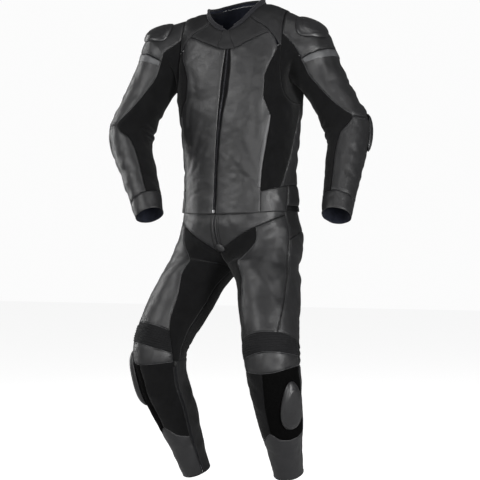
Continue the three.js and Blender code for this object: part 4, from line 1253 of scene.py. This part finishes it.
# Stitching. Leather has a row 3 mm inside each seam, and a second row on the main panels.
DOUBLE_SEWN = {"chest_yoke", "front", "shoulder_yoke", "back_panel", "thigh_front", "thigh_back", "belly_yoke",
               "upper_sleeve", "forearm", "shoulder_cap", "hip_yoke"}
UNSEWN_SEAMS = {"zip_edge", "collar_front"}
sewn = [(part, side, *SIDE_PIECES[part]) for side in SIDES for part in SIDE_PIECES]
sewn += [(part, "left", *MIDDLE_PIECES[part]) for part in MIDDLE_PIECES]
for garment, cloth_names in (("jacket", ("torso",)), ("sleeve", ("sleeve",)), ("trouser", ("thigh", "shin"))):
    lines = []
    for part, side, cloth_name, finish, window, edges in sewn:
        if cloth_name not in cloth_names or finish != "leather":
            continue
        for edge in edges:
            if edge["seam"] in UNSEWN_SEAMS:
                continue
            for offset in (3.0, 7.5) if part in DOUBLE_SEWN else (3.0,):
                lines += stitches_along(CLOTHS[cloth_name, side], side, window, edges, edge, offset)
    tubes(garment + "_stitching", lines, STITCH_THICK, "thread", sides=4)

# Piping and binding along the seams that show one
PIPED = table("part seam radius offset", [
    ("upper_sleeve", "sleeve_outer", 0.6, 0.2),
    ("thigh_front", "inner_edge", 0.9, 0.4),
    ("thigh_front", "rib_top", 1.1, 0.4),
    ("knee_leather", "rib_low", 1.1, 0.4),
    ("knee_leather", "knee_low", 1.1, 0.4),
    ("shin_leather", "shin_low", 1.1, 0.4),
])
for side in SIDES:
    lines = []
    for row in PIPED:
        cloth_name, finish, window, edges = SIDE_PIECES[row["part"]]
        cloth = CLOTHS[cloth_name, side]
        for edge in edges:
            if edge["seam"] == row["seam"]:
                lines += edge_runs(cloth, side, window, edges, edge, row["offset"], 0.6)
    tubes(f"piping_{side}", lines, 0.7, "trim")

# Collar edge: a padded roll round the neck, open at the front
collar_cloth = CLOTHS["torso", "left"]
around = np.linspace(11.5, 348.5, 150)
down = np.full(150, -30.0)
roll = on_cloth(collar_cloth, "left", around, down, np.full(150, 30.0), -0.8)
binding = tubes("collar_roll", [roll], 3.2, "binding", sides=12)
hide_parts("collar_binding")

# Closed front zip under its short flap
zip_window = (0, 596, -6, 6)
zip_edges = [before("tape_edge"), before("tape_edge", 0)]
sew_piece("front_zip_tape", "torso", "left", "zip_tape", zip_window, zip_edges, "front_zip",
          lambda around, down, gap: -2.2 + 0 * gap, cell=2.5, wall=0.8)
line = np.arange(60, 590, 2.0)
zip_teeth("front_zip_teeth", collar_cloth, "left", np.zeros(len(line)), line, -1.2)
flap_edges = [before("flap_left"), after("flap_right"), before("flap_low")]
flap_window = (0.5, 100, -11.25, 11.25)
sew_piece("zip_flap_cloth", "torso", "left", "dull_leather", flap_window, flap_edges, "zip_flap",
          lambda around, down, gap: 2.2 + 0 * gap, cell=2.5, wall=1.4)

# Zip stop at the hem
stop = on_cloth(collar_cloth, "left", np.array([0.0]), np.array([588.0]), np.array([30.0]), 1.4)[0]
stop_out = collar_cloth.normal(np.array([0.0]), np.array([588.0]))[0]
stop_down = square_to([0, 0, -1], stop_out)
stop_axes = (np.cross(stop_out, stop_down), stop_down, stop_out)
small_blocks("front_zip_stop", [(stop, stop_axes, (7, 9, 3))], "bright_metal")

# Hem at the back: leather over a ribbed elastic band
hem_cloth, hem_finish, hem_window, hem_edges = MIDDLE_PIECES["hem_stretch"]
sew_piece("hem_back_cloth", hem_cloth, "left", "leather", hem_window, [*hem_edges, before("hem_band")], "hem_stretch",
          lambda around, down, gap: 1.5 * np.clip(gap / 12, 0, 1))
sew_piece("hem_band_cloth", hem_cloth, "left", "ribbed", hem_window, [*hem_edges, after("hem_band")], "hem_stretch",
          hem_ribs, cell=2.2)

for side in SIDES:
    # Covered pocket zip: a light strip down the outer edge of the front
    pocket = [after("pocket_edge"), before("front_edge")]
    sew_piece(f"pocket_strip_{side}", "torso", side, "trim", (326, 520, 30, 60), pocket, f"pocket_zip_{side}",
              lambda around, down, gap: 1.2 + 0.5 * np.clip(gap / 3, 0, 1), cell=2.5, wall=1.2)

    # Light band across the upper sleeve, under the cap
    band = [inside(edge, 3) for edge in OUTER_SIDES]
    band += [inside(after("cap_low"), 1), {**before("cap_low"), "inside": -15}]
    sew_piece(f"sleeve_band_{side}", "sleeve", side, "light_band", (78, 150, *OUTSIDE), band, None,
              lambda around, down, gap: 0.9 + 0 * gap, cell=3, wall=0.8)

# Fly zip between two welts, sewn down each side, with a half-round tab at its foot
FLY_WELT = 1.9
FLY_SEAM = 6.2
lines = []
seams = []
for side in SIDES:
    thigh = CLOTHS["thigh", side]
    down = np.arange(60, 147, 3.0)
    flat = np.full(len(down), 30.0)
    lines.append(on_cloth(thigh, side, np.full(len(down), FLY_WELT), down, flat, 0.9))
    seams.append(on_cloth(thigh, side, np.full(len(down), FLY_SEAM), down, flat, 0.1))
tubes("fly_welts", lines, 1.6, "leather", sides=10)
tubes("fly_seams", seams, 0.5, "zip_tape")
down = np.arange(60, 147, 2.0)
fly_teeth = zip_teeth("fly_teeth", CLOTHS["thigh", "left"], "left", np.full(len(down), 0.05), down, 1.0)
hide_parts("fly_zip")
fly_tab("fly_tab", 152, 19, 20, 2.2)

# Calf zips: teeth between two sewn edges
for side in SIDES:
    shin = CLOTHS["shin", side]
    down = np.arange(500, 792, 2.0)
    way, rows = SEAMS["calf_zip"]
    around = smooth_line([row[0] for row in rows], [row[1] for row in rows], down)
    zip_teeth(f"calf_teeth_{side}", shin, side, around, down, 0.9, size=(4.4, 1.2, 1.8))
    lines = []
    for offset in (-7, -4, 4, 7):
        flat = np.full(len(down), 30.0)
        lines.append(on_cloth(shin, side, around + offset / shin.per_degree, down, flat, 0.3))
    tubes(f"calf_zip_edges_{side}", lines, 0.9, "leather")

# Sliders
SHOULDER_SLIDER = {"round": 20, "down": 56, "wide": 40, "tall": 34, "square": 2.3, "taper": -0.12, "slant": 0}
ELBOW_SLIDER = {"round": -36, "down": 326, "wide": 24, "tall": 46, "square": 2.3, "taper": -0.12, "slant": 0}
KNEE_SLIDER = {"round": 158, "wide": 40, "tall": 66, "square": 2.2, "taper": 0.2, "slant": -0.08}
KNEE_SLIDER_DOWN = {"left": 582, "right": 537}
PLATE = [(0, 9.6), (0.3, 9.4), (0.55, 8.6), (0.66, 8.0), (0.69, 7.2), (0.73, 7.1), (0.78, 7.2), (0.87, 6.0),
         (0.95, 4.4), (1.0, 2.4), (1.0, 1.0), (0.96, 0.2), (0, 0.2)]
PUCK = [(0, 15.8), (0.3, 15.9), (0.6, 15.6), (0.7, 15.2), (0.72, 14.8), (0.73, 14.1), (0.75, 13.8), (0.79, 13.7),
        (0.88, 10.6), (0.95, 7.2), (0.985, 4.6), (1.0, 2.6), (0.99, 0.8), (0.95, 0.3), (0, 0.3)]
for side in SIDES:
    hard_slider(f"shoulder_plate_{side}", "sleeve", side, SHOULDER_SLIDER, PLATE, "slider", f"shoulder_slider_{side}")
    hard_slider(f"elbow_plate_{side}", "sleeve", side, ELBOW_SLIDER, PLATE, "slider", f"elbow_slider_{side}")
    knee_slider = {**KNEE_SLIDER, "down": KNEE_SLIDER_DOWN[side]}
    hard_slider(f"knee_puck_{side}", "shin", side, knee_slider, PUCK, "slider", f"knee_slider_{side}")

# Cuff and leg ends: a light rolled edge
for side in SIDES:
    turn = np.linspace(0, 357, 120)
    cuff = on_cloth(CLOTHS["sleeve", side], side, turn, np.full(120, 589.0), np.full(120, 30.0), -0.6)
    tubes(f"cuff_edge_{side}", [cuff], 1.3, "leather", closed=True)
    ankle = on_cloth(CLOTHS["shin", side], side, turn, np.full(120, 799.0), np.full(120, 30.0), -0.6)
    tubes(f"leg_edge_{side}", [ankle], 1.4, "leather", closed=True)


# Studio
def floor_material():
    """A pale floor, lit evenly from below so that it runs into the backdrop."""
    material, tree, shader = start_material("pale_floor")
    shader.inputs["Base Color"].default_value = (0.55, 0.55, 0.55, 1)
    shader.inputs["Roughness"].default_value = 0.9
    shader.inputs["Emission Color"].default_value = (1, 1, 1, 1)
    seen = add_node(tree, "LightPath").outputs["Is Camera Ray"]
    tree.links.new(ramp(tree, seen, 0, 1, 0.04, 0.84), shader.inputs["Emission Strength"])
    return material


FLOOR_DROP = 0.012
floor_mesh = bmesh.new()
bmesh.ops.create_grid(floor_mesh, x_segments=1, y_segments=1, size=12)
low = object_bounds()[0][2] - FLOOR_DROP
bmesh.ops.translate(floor_mesh, vec=(0, 0, low), verts=floor_mesh.verts)
mesh = bpy.data.meshes.new("studio_floor")
floor_mesh.to_mesh(mesh)
floor_mesh.free()
mesh.materials.append(floor_material())
floor = bpy.data.objects.new("studio_floor", mesh)
bpy.context.scene.collection.objects.link(floor)

bpy.context.scene.view_settings.view_transform = "Standard"

# The backdrop is bright, and the light it gives is softer than it looks
world = bpy.data.worlds.new("studio")
world.use_nodes = True
world_tree = world.node_tree
backdrop = world_tree.nodes["Background"]
backdrop.inputs["Color"].default_value = (1, 1, 1, 1)
seen = add_node(world_tree, "LightPath").outputs["Is Camera Ray"]
world_tree.links.new(ramp(world_tree, seen, 0, 1, 0.14, 0.97), backdrop.inputs["Strength"])
bpy.context.scene.world = world

# Softboxes: place, aim, width and height in metres, power in watts
SOFTBOXES = table("name place aim wide tall power", [
    ("key", (-1.6, -3.4, 0.9), (0, 0, -0.6), 1.2, 2.0, 80),
    ("side", (3.1, -1.6, -0.2), (0.1, 0, -0.7), 0.5, 2.8, 140),
    ("rim", (-2.6, 0.2, 0.1), (-0.1, 0, -0.6), 0.4, 2.6, 34),
    ("front", (1.6, -4.4, -0.5), (0.1, 0, -0.8), 1.0, 2.0, 66),
    ("top", (0.9, -1.2, 2.2), (0.1, 0, -0.1), 0.8, 0.8, 14),
])
for box in SOFTBOXES:
    data = bpy.data.lights.new(box["name"], "AREA")
    data.shape = "RECTANGLE"
    data.size = box["wide"]
    data.size_y = box["tall"]
    data.energy = box["power"]
    lamp = bpy.data.objects.new(box["name"], data)
    lamp.location = box["place"]
    lamp.rotation_euler = (Vector(box["aim"]) - Vector(box["place"])).to_track_quat("-Z", "Y").to_euler()
    bpy.context.scene.collection.objects.link(lamp)

# Camera: 28 degrees round to the wearer's left, level, five metres away
CAMERA_TURN = math.radians(28)
CAMERA_PLACE = (2.358, -4.409, -0.661)
FRAME_WIDTH = 1.392
CAMERA_DISTANCE = 5.0
camera_data = bpy.data.cameras.new("camera")
camera_data.sensor_width = 36
camera_data.lens = 36 * CAMERA_DISTANCE / FRAME_WIDTH
camera = bpy.data.objects.new("camera", camera_data)
camera.location = CAMERA_PLACE
camera.rotation_euler = (math.radians(90), 0, CAMERA_TURN)
bpy.context.scene.collection.objects.link(camera)
bpy.context.scene.camera = camera
